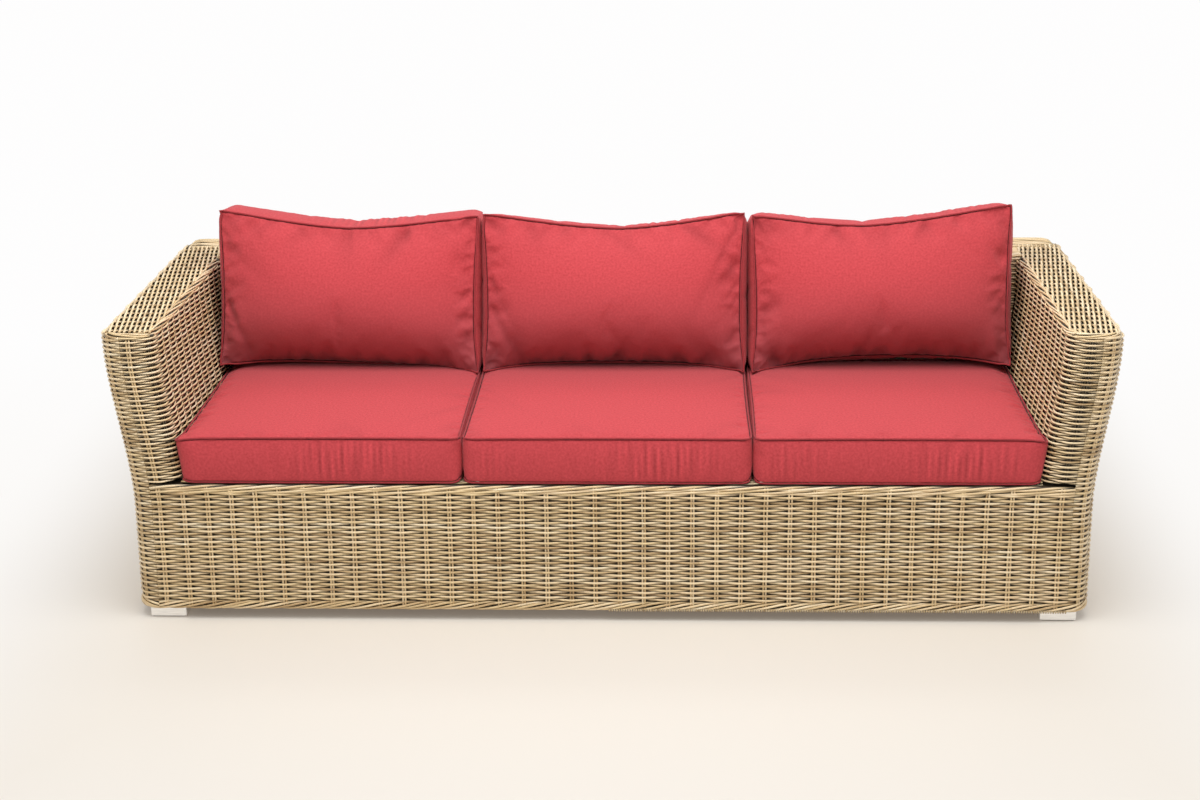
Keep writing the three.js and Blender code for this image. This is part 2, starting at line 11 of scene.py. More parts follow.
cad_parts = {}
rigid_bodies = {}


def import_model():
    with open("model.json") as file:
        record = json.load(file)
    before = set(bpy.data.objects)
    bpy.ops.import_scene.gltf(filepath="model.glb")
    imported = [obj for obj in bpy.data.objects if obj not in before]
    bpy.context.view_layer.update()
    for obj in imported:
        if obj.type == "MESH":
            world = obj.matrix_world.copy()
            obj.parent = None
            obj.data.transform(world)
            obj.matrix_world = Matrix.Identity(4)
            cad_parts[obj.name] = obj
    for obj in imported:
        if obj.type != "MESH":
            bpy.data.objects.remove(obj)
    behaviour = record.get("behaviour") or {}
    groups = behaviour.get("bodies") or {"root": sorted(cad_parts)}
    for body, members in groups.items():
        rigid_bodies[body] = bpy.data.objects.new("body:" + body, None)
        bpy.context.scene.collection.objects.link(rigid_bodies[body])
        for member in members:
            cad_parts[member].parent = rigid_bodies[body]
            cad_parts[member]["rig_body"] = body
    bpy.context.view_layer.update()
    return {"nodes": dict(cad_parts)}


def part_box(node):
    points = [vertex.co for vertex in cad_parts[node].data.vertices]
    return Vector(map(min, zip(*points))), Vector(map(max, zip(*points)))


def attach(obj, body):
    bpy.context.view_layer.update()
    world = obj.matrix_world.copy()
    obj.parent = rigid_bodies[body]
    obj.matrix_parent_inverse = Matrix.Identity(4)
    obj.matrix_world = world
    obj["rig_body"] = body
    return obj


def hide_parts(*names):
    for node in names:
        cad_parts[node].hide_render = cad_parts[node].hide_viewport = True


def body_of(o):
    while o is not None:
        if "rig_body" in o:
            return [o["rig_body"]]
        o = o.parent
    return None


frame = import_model()
rng = np.random.default_rng(11)

# Camera, fitted to the photograph
IMAGE_WIDTH = 1200
FOCAL_PIXELS = 2143
SENSOR_WIDTH = 36.0
CAMERA_TARGET = Vector((-0.032, -0.0575, 0.387))
CAMERA_DISTANCE = 4.99
CAMERA_AZIMUTH = math.radians(2.22)
CAMERA_ELEVATION = math.radians(17.25)
CAMERA_ROLL = math.radians(-0.59)

# Sizes of the woven body that the frame's boxes don't give
CORNER_RADIUS = 0.05
NOSE_RADIUS = 0.055
EDGE_ROUND = 0.014
ARM_THICKNESS = 0.126
ARM_FLARE = 0.044
FLARE_START = 0.25
FLARE_END = 0.64
BACK_LEAN = math.radians(15.5)
BAND_DEPTH = 0.074

# Cane: round strands woven over pairs of stakes
STRAND_RADIUS = 0.0026
ARM_STRAND_RADIUS = 0.0021
STAKE_RADIUS = 0.0024
STAKE_HALF_GAP = 0.0029
ROW_PITCH = 0.00584
ARM_ROW_PITCH = 0.0054
WAVE = 0.0046
MID_DEPTH = 0.0054
STAKE_COUNT = 112
STAKE_OFFSET = 0.0225
DIP_POWER = 4
ARM_DIP_POWER = 2.2
DIP_SHARES = (-0.5, -0.27, -0.13, 0.0, 0.13, 0.27)
STAKE_STEP = 0.03
SIDES = 6
END_CAPS = np.array([(0, 1, 2, 3), (0, 3, 4, 5)])
STRAND_LENGTH = 0.9
JITTER = 0.00035
STAKE_LIFT = 0.0012
SUNK_STAKE = -0.0035
# A thin dark sheet behind each weave: painted shade for the inside of the body seen through the
# gaps
SHADE_SHEET_DEPTH = 0.0112
SHADE_SHEET_THICKNESS = 0.0006
SHADE_SHEET_STEP = 0.02

# Borders: long floats that wind round the edges, and where the walls meet them
BORDER_STEP = 0.012
BORDER_DRIFT = 0.15
WEAVE_DEPTH = 0.012
WRAP_HEIGHTS = (0.0005, 0.0035, 0.0065)
WRAP_PITCH = 0.0053
WRAP_RADIUS = 0.0018
WRAP_LIFTS = (0.0006, 0.0022, 0.0006)
RIM_DROP = 0.0065
RIM_CLEARANCE = 0.0255
STAKE_START = 0.01
STAKE_INSET = 0.004
ARM_BORDER_RUN = 0.64
ARM_TOP_INSET = 0.02
BACK_CLEARANCE = 0.006
DECK_PITCH = 0.0088
DECK_WAVE = 0.0026
DECK_RADIUS = 0.0022
DECK_STAKE_RADIUS = 0.0016

# The roll along the rear edge of the back
ROLL_STRANDS = 19
ROLL_RADIUS = 0.0030
ROLL_PERIOD = 0.40
ROLL_HEIGHT = 0.012
ROLL_SINK = 0.009
ROLL_GAP = 0.002
ROLL_END = 0.035
ROLL_DRIFT = 0.34
ROLL_SWELL = 0.10
ROLL_NARROWING = 0.25
ROLL_FOOT = 0.3

# Cushions
SEAT_GAPS = (-0.319, 0.311)
HALF_GAP = 0.003
SEAT_THICKNESS = 0.0955
SEAT_SWELL = 0.003
CUSHION_MIDDLE = 0.38
BACK_THICKNESS = 0.148
REST_GAP = 0.0008
RIPPLE = 0.0022
RIPPLE_TURN = 205
RIPPLE_LEAN = 1.1
PUCKER_REACH = 0.06
CREASE_REACH = (0.5, 1.5)
CREASE_DEPTH = (0.1, 1.2)
PUCKERS = {"spacing": 0.026, "width": 0.008, "depth": 0.0042, "reach": 0.032, "lean": 0.35}
FOLDS = {"spacing": 0.085, "width": 0.016, "depth": 0.0070, "reach": 0.070, "lean": 0.5}
FOLD_DROOP = 0.8
ARM_SPREAD = 0.85
SIDE_DROP = 0.009
FRONT_DROOP = 0.006
FRONT_DROOP_RUN = 0.02
CORNER_FLARE = 0.009
CORNER_FLARE_RUN = 0.07

# Their cloth
CLOTH_STEP = 0.007
SEAM_LINE = 0.004
SEAM_SINK = 0.0036
COVER_NOISE = 0.00025
CLOTH_FRAMES = 20
CLOTH = {
    "quality": 5, "vertex_group_mass": "seams", "use_pressure": True,
    "uniform_pressure_force": 4.0, "tension_stiffness": 25, "compression_stiffness": 25,
    "shear_stiffness": 12, "bending_stiffness": 1.5, "vertex_group_shrink": "taut",
    "shrink_min": -0.07, "shrink_max": -0.006,
}
PIPING_RADIUS = 0.0021
PIPING_PROUD = 0.0006
PIPING_SIDES = 8

# Colours, linear
CREAM = (0.92, 0.745, 0.475)
BROWN = (0.27, 0.16, 0.07)
FABRIC = (0.60, 0.074, 0.084)
FABRIC_DARK = (0.48, 0.050, 0.059)
# Painted shade: the duller, darker red low on the backs and towards the seats' rear
FABRIC_UNDER_SHADE = (0.34, 0.078, 0.086)
# The piping is darker than the panels, painted as the shade of the dark lines along the seams
PIPING_SHADE = 0.6
# How much painted shade the folds take, and painted light the ripple crests take
FOLD_SHADE = 0.24
UNDER_POWER = 1.5
YARN_PITCH = 0.0011
BUMP_DISTANCE = 0.0004
GRAIN_SHADE = 0.82
CANE_TONES = (
    (0.14, BROWN), (0.26, (0.52, 0.35, 0.17)), (0.38, (0.82, 0.63, 0.35)),
    (0.50, (0.70, 0.51, 0.28)), (0.60, CREAM), (0.70, (0.78, 0.58, 0.34)),
    (0.84, (0.93, 0.80, 0.56)),
)
FLOOR_REACH = 40
FLOOR_FADES = (("X", 0.95, 1.5), ("X", -0.95, -1.6), ("Y", 0.5, 1.4), ("Y", -0.85, -2.4))
FLOOR_WHITES = ((0.0, (0.94, 0.905, 0.86)), (1.0, (0.99, 0.985, 0.985)))
WORLD_LIGHT = 0.43

front_low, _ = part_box("front_apron_weave")
side_low, side_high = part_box("right_side_weave")
inner_low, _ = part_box("back_inner_weave")
deck_low, deck_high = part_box("seat_deck_weave")
seat_low, seat_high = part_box("right_seat_cushion_cover")
back_low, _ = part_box("middle_back_cushion_cover")
seat_reach = seat_high.x
FRONT_Y = front_low.y
BACK_Y = side_high.y
SKIN_BOTTOM = side_low.z
ARM_TOP = side_high.z
SEAT_HEIGHT = deck_high.z
SEAT_BACK_Y = inner_low.y
CAP = ARM_TOP - EDGE_ROUND
FIRST_ROW = SKIN_BOTTOM + 0.026
WALL_TOP = CAP + EDGE_ROUND * 0.6
EDGE_END = CAP + EDGE_ROUND * math.pi / 2
BACK_RISE = (CAP - SEAT_HEIGHT) / math.cos(BACK_LEAN)
BACK_TURN = math.pi / 2 - BACK_LEAN
TOP_HALF = side_high.x
BASE_HALF = TOP_HALF - ARM_FLARE


def outer_half(height):
    """Half of the width over the arms at a height."""
    share = np.clip((height - FLARE_START) / (FLARE_END - FLARE_START), 0, 1)
    return BASE_HALF + ARM_FLARE * share * share * (3 - 2 * share)


# The outline in plan is walked by the distance from the middle of the front, with a
# centre, a radius and an outward angle at each knot
ARC = CORNER_RADIUS * math.pi / 2
NOSE_ARC = NOSE_RADIUS * math.pi / 2
FRONT_RUN = BASE_HALF - CORNER_RADIUS
SIDE_RUN = BACK_Y - FRONT_Y - 2 * CORNER_RADIUS
CORNER_END = FRONT_RUN + ARC
REAR_START = CORNER_END + SIDE_RUN
REAR_END = REAR_START + ARC
HALF_RING = REAR_END + FRONT_RUN
REAR_FAR_END = HALF_RING + FRONT_RUN
NOSE_START = FRONT_RUN - (ARM_THICKNESS - CORNER_RADIUS - NOSE_RADIUS)
NOSE_END = NOSE_START - NOSE_ARC
INNER_RUN = 0.8
FRONT_CENTRE = FRONT_Y + CORNER_RADIUS
BACK_CENTRE = BACK_Y - CORNER_RADIUS
NOSE_CENTRE = FRONT_Y + NOSE_RADIUS
NOSE_OFFSET = CORNER_RADIUS - ARM_THICKNESS + NOSE_RADIUS
STAKE_PITCH = 2 * HALF_RING / STAKE_COUNT
ARM_STAKE_PITCH = 0.68 * STAKE_PITCH

# Each border: middle, half height, half depth, number of strands and length of a turn
INNER_EDGE = (CAP + 0.015, 0.0100, 0.0036, 7, 0.42)
OUTER_EDGE = (CAP + 0.014, 0.0050, 0.0014, 4, 0.6)
BOTTOM_EDGE = (0.0335, 0.0080, 0.0042, 6, 4 * STAKE_PITCH)
RIM_EDGES = (
    (SEAT_HEIGHT - 0.0120, 0.0034, 0.0042, 3, 0.212),
    (SEAT_HEIGHT - 0.0205, 0.0034, 0.0042, 3, 0.265),
)
LEDGE_EDGE = (FRONT_Y + 0.7 * WEAVE_DEPTH, 0.0034, 0.0015, 3, 0.265)

# Each row: distance, share of the corner centre's x, offset in x, centre y, radius, degrees
BASE_KNOTS = np.array([
    (-FRONT_RUN, -1, 0, FRONT_CENTRE, CORNER_RADIUS, -90),
    (FRONT_RUN, 1, 0, FRONT_CENTRE, CORNER_RADIUS, -90),
    (CORNER_END, 1, 0, FRONT_CENTRE, CORNER_RADIUS, 0),
    (REAR_START, 1, 0, BACK_CENTRE, CORNER_RADIUS, 0),
    (REAR_END, 1, 0, BACK_CENTRE, CORNER_RADIUS, 90),
    (REAR_FAR_END, -1, 0, BACK_CENTRE, CORNER_RADIUS, 90),
]).T
ARM_KNOTS = np.array([
    (NOSE_END - INNER_RUN, 1, NOSE_OFFSET, NOSE_CENTRE + INNER_RUN, NOSE_RADIUS, -180),
    (NOSE_END, 1, NOSE_OFFSET, NOSE_CENTRE, NOSE_RADIUS, -180),
    (NOSE_START, 1, NOSE_OFFSET, NOSE_CENTRE, NOSE_RADIUS, -90),
    *BASE_KNOTS.T[1:],
]).T


def skin(side, knots):
    """The outer skin as a surface: distance along the outline and distance up the wall, over
    the rounded top edge and inward. Gives points on the outer face and outward directions."""
    def surface(along, up):
        share, offset, centre_y, radius, degrees = (
            np.interp(along, knots[0], column) for column in knots[1:]
        )
        angle = np.radians(degrees)
        turn = np.clip((up - CAP) / EDGE_ROUND, 0, math.pi / 2)
        beyond = np.maximum(up - EDGE_END, 0)
        height = np.minimum(up, CAP)
        reach = radius - EDGE_ROUND * (1 - np.cos(turn)) - beyond
        centre_x = share * (outer_half(height) - CORNER_RADIUS) + offset
        outward = np.stack([
            side * np.cos(angle) * np.cos(turn),
            np.sin(angle) * np.cos(turn),
            np.sin(turn),
        ], axis=1)
        point = np.stack([
            side * (centre_x + reach * np.cos(angle)),
            centre_y + reach * np.sin(angle),
            height + EDGE_ROUND * np.sin(turn),
        ], axis=1)
        return point, outward
    return surface


def back_face(along, up):
    """The inner face of the back, rounded over its top and on to the rear edge. Along is x,
    and up is the distance along the section from the seat."""
    wall = np.minimum(up, BACK_RISE)
    turn = np.clip((up - BACK_RISE) / EDGE_ROUND, 0, BACK_TURN)
    beyond = np.maximum(up - BACK_RISE - EDGE_ROUND * BACK_TURN, 0)
    angle = BACK_LEAN + turn
    centre_y = SEAT_BACK_Y + wall * math.sin(BACK_LEAN) + EDGE_ROUND * math.cos(BACK_LEAN)
    centre_z = SEAT_HEIGHT + wall * math.cos(BACK_LEAN) - EDGE_ROUND * math.sin(BACK_LEAN)
    flat = np.zeros(len(along))
    outward = np.stack([flat, -np.cos(angle), np.sin(angle)], axis=1)
    point = np.stack([
        along + flat,
        centre_y - EDGE_ROUND * np.cos(angle) + beyond,
        centre_z + EDGE_ROUND * np.sin(angle),
    ], axis=1)
    return point, outward


def back_lean(height):
    """The y of the inner face of the back at a height."""
    return SEAT_BACK_Y + (height - SEAT_HEIGHT) * math.tan(BACK_LEAN)


def level(height, turned):
    """A level surface: along is x and up is y, or the other way round."""
    def surface(along, up):
        flat = np.zeros(len(along))
        x, y = (up, along) if turned else (along, up)
        point = np.stack([x + flat, y + flat, flat + height], axis=1)
        return point, np.tile((0.0, 0.0, 1.0), (len(along), 1))
    return surface


deck_level = level(SEAT_HEIGHT, False)


def wobble(along, seed, size):
    """A slow wave of small size, so that rows aren't ruled lines."""
    return size * (np.sin(along * 9.1 + seed * 1.7) + 0.6 * np.sin(along * 23.0 + seed * 3.1))


def strand(surface, along, up, lift, radius):
    """One strand: its centre line follows the surface at a depth, raised by lift."""
    point, outward = surface(along, up)
    centre = point + outward * (lift - MID_DEPTH)[:, None]
    return {"centre": centre, "outward": outward, "lift": lift, "radius": radius}


def stakes(surface, start, end, low, high, phase=STAKE_OFFSET, radius=STAKE_RADIUS,
           lift=STAKE_LIFT):
    """Pairs of stakes that stand across the rows, between two distances and two heights."""
    up = np.linspace(low, high, max(int((high - low) / STAKE_STEP), 2) + 1)
    return [
        strand(surface, position + half + rng.normal(0, JITTER, len(up)), up,
               np.full(len(up), lift), radius)
        for position in stake_positions(start, end, phase)
        for half in (-STAKE_HALF_GAP, STAKE_HALF_GAP)
    ]


def border(surface, start, end, shape, sink=0.0, radius=STRAND_RADIUS):
    """Strands that wind round an edge in a long flat twist, so that their floats slant."""
    middle, half_height, half_depth, count, period = shape
    along = np.linspace(start, end, int(abs(end - start) / BORDER_STEP) + 1)
    strands = []
    for index in range(count):
        turn = 2 * math.pi * (along / period + index / count) + rng.normal(0, BORDER_DRIFT)
        up = middle + half_height * np.sin(turn) + wobble(along, index, JITTER)
        lift = half_depth * np.cos(turn) - sink
        strands.append(strand(surface, along, up, lift, radius))
    return strands


def stake_positions(start, end, phase=STAKE_OFFSET, pitch=STAKE_PITCH):
    """Places of the stakes between two distances."""
    first = math.ceil((start - phase) / pitch)
    last = math.floor((end - phase) / pitch)
    return [phase + index * pitch for index in range(first, last + 1)]


def unit(vectors):
    """Vectors of length 1 in the same directions."""
    return vectors / np.linalg.norm(vectors, axis=1)[:, None]


def tube(centre, outward, tangent, radius, turn):
    """Rings of points round a centre line, one after another."""
    across = unit(np.cross(tangent, outward))
    normal = np.cross(across, tangent)
    ring = (np.cos(turn)[None, :, None] * normal[:, None, :]
            + np.sin(turn)[None, :, None] * across[:, None, :])
    return (centre[:, None, :] + radius * ring).reshape(-1, 3)


def rim_of(grid):
    """What lies round the rim of a grid, in order."""
    return np.concatenate([grid[0, :-1], grid[:-1, -1], grid[-1, :0:-1], grid[:0:-1, 0]])


def panel_of(grid):
    """The quads of a grid of point numbers."""
    corners = [grid[:-1, :-1], grid[:-1, 1:], grid[1:, 1:], grid[1:, :-1]]
    return np.stack(corners, axis=-1).reshape(-1, 4)


def cane_mesh(name, strands, shade_sheets):
    """A mesh of round tubes, one for each strand, and of the dark sheets of painted shade behind
    them, with what the cane's material reads."""
    turn = np.arange(SIDES) * 2 * math.pi / SIDES
    points, quads, tones, flows, depths = [], [], [], [], []
    base = 0
    for piece in strands:
        centre = piece["centre"]
        tangent = unit(np.gradient(centre, axis=0))
        points.append(tube(centre, piece["outward"], tangent, piece["radius"], turn))

        grid = base + np.arange(len(centre) * SIDES).reshape(-1, SIDES)
        beside = np.roll(grid, -1, axis=1)
        wall = np.stack([grid[:-1], grid[1:], beside[1:], beside[:-1]], axis=-1).reshape(-1, 4)
        quads += [wall, grid[0][END_CAPS], grid[-1][END_CAPS[:, ::-1]]]
        base += grid.size

        step = np.linalg.norm(np.diff(centre, axis=0), axis=1)
        run = np.concatenate([[0], np.cumsum(step)]) + rng.uniform(0, STRAND_LENGTH)
        number = np.floor(run / STRAND_LENGTH).astype(int)
        tone = rng.random(number.max() + 1)[number]
        tones.append(np.repeat(tone, SIDES))
        flow = np.broadcast_arrays((run + 7 * tone)[:, None], np.cos(turn), np.sin(turn))
        flows.append(np.stack(flow, axis=-1).reshape(-1, 3))
        # The depth the material reads: painted shade on deep strands and on each strand's inward
        # side
        depth = piece["lift"][:, None] + piece["radius"] * np.cos(turn)
        depths.append(depth.reshape(-1))

    for sheet, sheet_quads in shade_sheets:
        points.append(sheet)
        quads.append(sheet_quads + base)
        base += len(sheet)
        tones.append(np.zeros(len(sheet)))
        flows.append(sheet)
        # The sheets read as the deepest cane, so the material paints them near black: painted shade
        depths.append(np.full(len(sheet), -SHADE_SHEET_DEPTH))

    mesh = quad_mesh(name, np.concatenate(points), np.concatenate(quads))
    add_values(mesh, "cane_tone", np.concatenate(tones))
    add_values(mesh, "cane_flow", np.concatenate(flows))
    depths = np.concatenate(depths) / (WAVE + STRAND_RADIUS)
    add_values(mesh, "cane_depth", depths)
    return mesh


def quad_mesh(name, points, quads):
    """A smooth mesh of four-sided faces."""
    mesh = bpy.data.meshes.new(name)
    mesh.vertices.add(len(points))
    mesh.vertices.foreach_set("co", points.astype(np.float32).ravel())
    mesh.loops.add(quads.size)
    mesh.loops.foreach_set("vertex_index", quads.astype(np.int32).ravel())
    mesh.polygons.add(len(quads))
    mesh.polygons.foreach_set("loop_start", np.arange(0, quads.size, 4, dtype=np.int32))
    mesh.update(calc_edges=True)
    mesh.shade_smooth()
    return mesh


def add_values(mesh, name, values, domain="POINT"):
    """Stores a number or a vector with each point or each corner of a mesh."""
    kind, field = ("FLOAT_VECTOR", "vector") if values.ndim > 1 else ("FLOAT", "value")
    attribute = mesh.attributes.new(name, kind, domain)
    attribute.data.foreach_set(field, values.astype(np.float32).ravel())


def add_object(name, mesh, material):
    piece = bpy.data.objects.new(name, mesh)
    bpy.context.scene.collection.objects.link(piece)
    mesh.materials.append(material)
    return piece


def shade_sheet(surface, start, end, low, high):
    """A thin dark sheet behind a weave's strands, painted shade for the inside seen through its
    gaps, from one distance to another and from one height to another."""
    columns = np.linspace(start, end, max(int(abs(end - start) / SHADE_SHEET_STEP), 1) + 1)
    rows = np.linspace(low, high, max(int((high - low) / SHADE_SHEET_STEP), 1) + 1)
    along, up = np.meshgrid(columns, rows)
    point, outward = surface(along.ravel(), up.ravel())
    points = [point - outward * depth for depth in (SHADE_SHEET_DEPTH, SHADE_SHEET_DEPTH + SHADE_SHEET_THICKNESS)]
    grid = np.arange(along.size).reshape(along.shape)
    panel, edge = panel_of(grid), rim_of(grid)
    onward = np.roll(edge, -1)
    rim = np.stack([edge, edge + along.size, onward + along.size, onward], axis=-1)
    corners = point[panel[:, :3]]
    facing = np.cross(corners[:, 1] - corners[:, 0], corners[:, 2] - corners[:, 1])
    quads = np.concatenate([panel, panel[:, ::-1] + along.size, rim])
    if np.sum(facing * outward[panel[:, 0]]) < 0:
        quads = quads[:, ::-1]
    return np.concatenate(points), quads


def add_cane(name, strands, material, *nodes, shade_sheets=()):
    piece = add_object(name, cane_mesh(name, strands, shade_sheets), material)
    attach(piece, "frame")
    if nodes:
        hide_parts(*nodes)


def row_heights(low, high):
    """Rows of the whole body, counted from the bottom, between two heights, with the number of
    the first. They lie closer above the seat."""
    below = int((SEAT_HEIGHT - FIRST_ROW) / ROW_PITCH)
    above = int((high - SEAT_HEIGHT) / ARM_ROW_PITCH) + 2
    heights = [
        FIRST_ROW + min(index, below) * ROW_PITCH + max(index - below, 0) * ARM_ROW_PITCH
        for index in range(below + max(above, 0))
    ]
    first = sum(height < low for height in heights)
    return [height for height in heights if low <= height <= high], first


def woven_row(surface, low, high, up, index, phase=STAKE_OFFSET, wave=WAVE,
              radius=STRAND_RADIUS, pitch=STAKE_PITCH, power=DIP_POWER):
    """A strand that runs over one pair of stakes and dips sharply behind the next."""
    middles = np.array(stake_positions(low - pitch, high + pitch, phase, pitch))
    along = (middles[:, None] + pitch * np.array(DIP_SHARES)).ravel()
    along = np.concatenate([[low], along[(along > low) & (along < high)], [high]])
    height = up + wobble(along, index // 2, JITTER) + rng.normal(0, JITTER / 2)
    curve = np.cos(math.pi * ((along - phase) / pitch + index))
    lift = wave * np.where(curve < 0, -np.abs(curve) ** power, curve)
    return strand(surface, along, height, lift, radius)


def wall_rows(surface, start, end, low, high, phase=STAKE_OFFSET):
    """The rows of a wall between two distances and two heights."""
    heights, first = row_heights(low, high)
    return [
        woven_row(surface, start, end, up, index, phase=phase)
        for index, up in enumerate(heights, first)
    ]


# Cushions: panels sewn to a border along piped seams, and blown up as cloth


def hollow(place, middle=0.0, power=2.0):
    """A curve that is 1 at the middle and 0 at -1 and 1."""
    reach = np.where(place > middle, 1 - middle, 1 + middle)
    return 1 - np.abs((place - middle) / reach) ** power


def cushion_form(u, v, w, form):
    """Points in the cushion's own frame: u across, v along and w from the rear to the front
    panel. The outline draws in between rounded corners, the panels are crowned, and the
    border swells between its seams."""
    front = (1 + w) / 2
    half_x = form["width"] / 2 - form["side_draw"] * hollow(v, form["side_middle"])
    far = form["far_draw"] * hollow(u, form["far_middle"], form["far_power"])
    near = form["near_draw"] * hollow(u, form["far_middle"]) * front
    half_y = form["length"] / 2 - np.where(v > 0, far, near)
    from_side = np.clip(1 - (1 - np.abs(u)) * half_x / form["corner_reach"], 0, 1)
    from_end = np.clip(1 - (1 - np.abs(v)) * half_y / form["corner_reach"], 0, 1)
    cut = form["corner_cut"] * from_side ** 2 * from_end ** 2
    bulge = 1 - w * w
    side_swell = np.where(np.abs(u) == 1, form["side_swell"] * bulge * hollow(v, 0, 4), 0)
    end_swell = np.where(np.abs(v) == 1, form["swell"] * bulge * hollow(u, 0, 4), 0)
    x = u * half_x + np.sign(u) * (side_swell - cut)
    y = v * half_y + np.sign(v) * (end_swell - cut)

    bump = hollow(u, 0, 3) * hollow(v, form["crown_middle"], form["crown_power"])
    crown = np.where(w == 1, form["crown"], np.where(w == -1, -form["rear_crown"], 0))
    tuck = form["tuck"] * front * hollow(u, 0, 4) * np.clip(-v, 0, 1) ** 2.6
    z = w * form["thickness"] / 2 + crown * bump - tuck
    slope = form["tilt"] + form["foot_tilt"] * np.clip(-v, 0, 1)
    return form["place"](form, x, y + x * np.tan(np.radians(slope)), z)


def cloth_lines(length):
    """Places from -1 to 1 of the cloth's grid lines, with one close to each seam."""
    close = 2 * SEAM_LINE / length
    count = int(round((length - 2 * SEAM_LINE) / CLOTH_STEP))
    return np.concatenate([[-1], np.linspace(-1 + close, 1 - close, count + 1), [1]])


def cushion_grid(form):
    """A panel's grid: u across, v along, the number of each point and the numbers on its rim."""
    u, v = np.meshgrid(cloth_lines(form["width"]), cloth_lines(form["length"]))
    index = np.arange(u.size).reshape(u.shape)
    return u.ravel(), v.ravel(), index, rim_of(index)


def cushion_shell(form):
    """The points and quads of a closed cover, its seam loops, each quad corner's place on the
    flat cloth, and u, v and w of the points of its border."""
    u, v, index, loop = cushion_grid(form)
    size = len(u)
    layers = cloth_lines(form["thickness"])[::-1]
    inner = layers[1:-1]
    border = np.tile(u[loop], len(inner)), np.tile(v[loop], len(inner)), np.repeat(inner, len(loop))
    points = np.concatenate([
        *(cushion_form(u, v, np.full(size, side), form) for side in (1.0, -1.0)),
        cushion_form(*border, form),
    ])
    between = 2 * size + np.arange(len(inner) * len(loop)).reshape(-1, len(loop))
    rings = np.concatenate([[loop], between, [loop + size]])

    panel = panel_of(index)
    onward = np.roll(rings, -1, axis=1)
    border_quads = np.stack([rings[:-1], rings[1:], onward[1:], onward[:-1]], axis=-1)
    quads = np.concatenate([panel, panel[:, ::-1] + size, border_quads.reshape(-1, 4)])

    flat = panel_places(form)
    flat_panels = np.column_stack([np.tile(flat, (2, 1)), np.zeros(2 * size)])
    run = np.linalg.norm(np.diff(flat[np.append(loop, loop[0])], axis=0), axis=1)
    run = np.concatenate([[0], np.cumsum(run)])
    drop = layers * form["thickness"] / 2
    near, far, high, low = run[:-1], run[1:], drop[:-1, None], drop[1:, None]
    place = np.concatenate([
        flat_panels[quads[:2 * len(panel)].ravel()],
        corner_places((near, high), (near, low), (far, low), (far, high)),
    ])
    return points, quads, (loop, loop + size), place, border


def corner_places(*corners):
    """Places on the flat cloth of the four corners of each quad in a grid."""
    places = [np.stack(np.broadcast_arrays(*corner, 0.0), axis=-1) for corner in corners]
    return np.stack(places, axis=2).reshape(-1, 3)


def place_back(form, across, along, through):
    """A back cushion stands on the seat and leans on the backrest; its top falls rearwards."""
    behind = 0.5 - through / form["thickness"]
    rise = along / form["length"] + 0.5
    height = form["bottom"] + rise * (form["length"] - form["fall"] * behind)
    from_rear = through + form["thickness"] / 2 + form["rear_crown"] + REST_GAP
    return np.stack([form["centre"] + across, back_lean(height) - from_rear, height], axis=1)


def place_seat(form, across, along, through):
    """A seat cushion lies on the deck, and its side at an arm follows the arm outward."""
    height = form["bottom"] + form["thickness"] / 2 + through
    toward_arm = np.clip(form["arm_side"] * across * 2 / form["width"], 0, 1)
    spread = ARM_SPREAD * (outer_half(height) - outer_half(SEAT_HEIGHT)) * toward_arm ** 2
    near_front = np.clip(1 - (form["middle"] + along - seat_low.y) / CORNER_FLARE_RUN, 0, 1)
    spread = spread + CORNER_FLARE * toward_arm ** 2 * near_front * (2 - near_front)
    x = form["centre"] + across + form["arm_side"] * spread
    drop = SIDE_DROP * toward_arm ** 20 * np.clip(through * 2 / form["thickness"], 0, 1)
    drop = drop + front_droop(form["middle"] + along) * (through < 0)
    return np.stack([x, form["middle"] + along, height - drop], axis=1)


def front_droop(y):
    """How far the bottom of a seat cushion sinks over the apron's rim."""
    return FRONT_DROOP * np.clip((FRONT_Y + FRONT_DROOP_RUN - y) / FRONT_DROOP_RUN * 2, 0, 1)


def panel_places(form):
    """Places of a panel's points on the flat cloth, from its middle."""
    u, v, _, _ = cushion_grid(form)
    return np.stack([u * form["width"] / 2, v * form["length"] / 2], axis=1)


def start_cover(name, form, seed):
    """The cover before it is blown up, with its seams held as a cord holds them."""
    points, quads, seams, place, border = cushion_shell(form)
    held = np.concatenate(seams)
    noise = np.random.default_rng(seed).normal(0, COVER_NOISE, points.shape)
    noise[held] = 0
    points = points + noise
    mesh = quad_mesh(name, points, quads)
    add_values(mesh, "cloth_place", place, "CORNER")
    piece = add_object(name, mesh, form["material"])
    piece.vertex_groups.new(name="seams").add(held.tolist(), 1.0, "REPLACE")
    taut = piece.vertex_groups.new(name="taut")
    flat = panel_places(form)
    taut.add(list(range(2 * len(flat), len(points))), 1.0, "REPLACE")
    half = np.array([form["width"] / 2, form["length"] / 2])
    inset = (half - np.abs(flat)).min(axis=1)
    for number, reach in enumerate(np.clip(inset / PUCKER_REACH, 0, 1)):
        taut.add([number, number + len(flat)], float(reach), "REPLACE")
    return {
        "piece": piece, "form": form, "start": points, "seams": seams, "quads": quads,
        "border": border, "fold": np.zeros(len(points)), "under": painted_under_shade(form, len(points)),
    }


def painted_under_shade(form, count):
    """How much painted shade each point takes: low on a back's front, and towards a seat's rear."""
    _, v, _, _ = cushion_grid(form)
    start = form["under_start"]
    depth = np.clip((form["under_side"] * v - start) / (1 - start), 0, 1)
    under = np.zeros(count)
    under[:len(v)] = form["under_most"] * depth ** UNDER_POWER
    return under


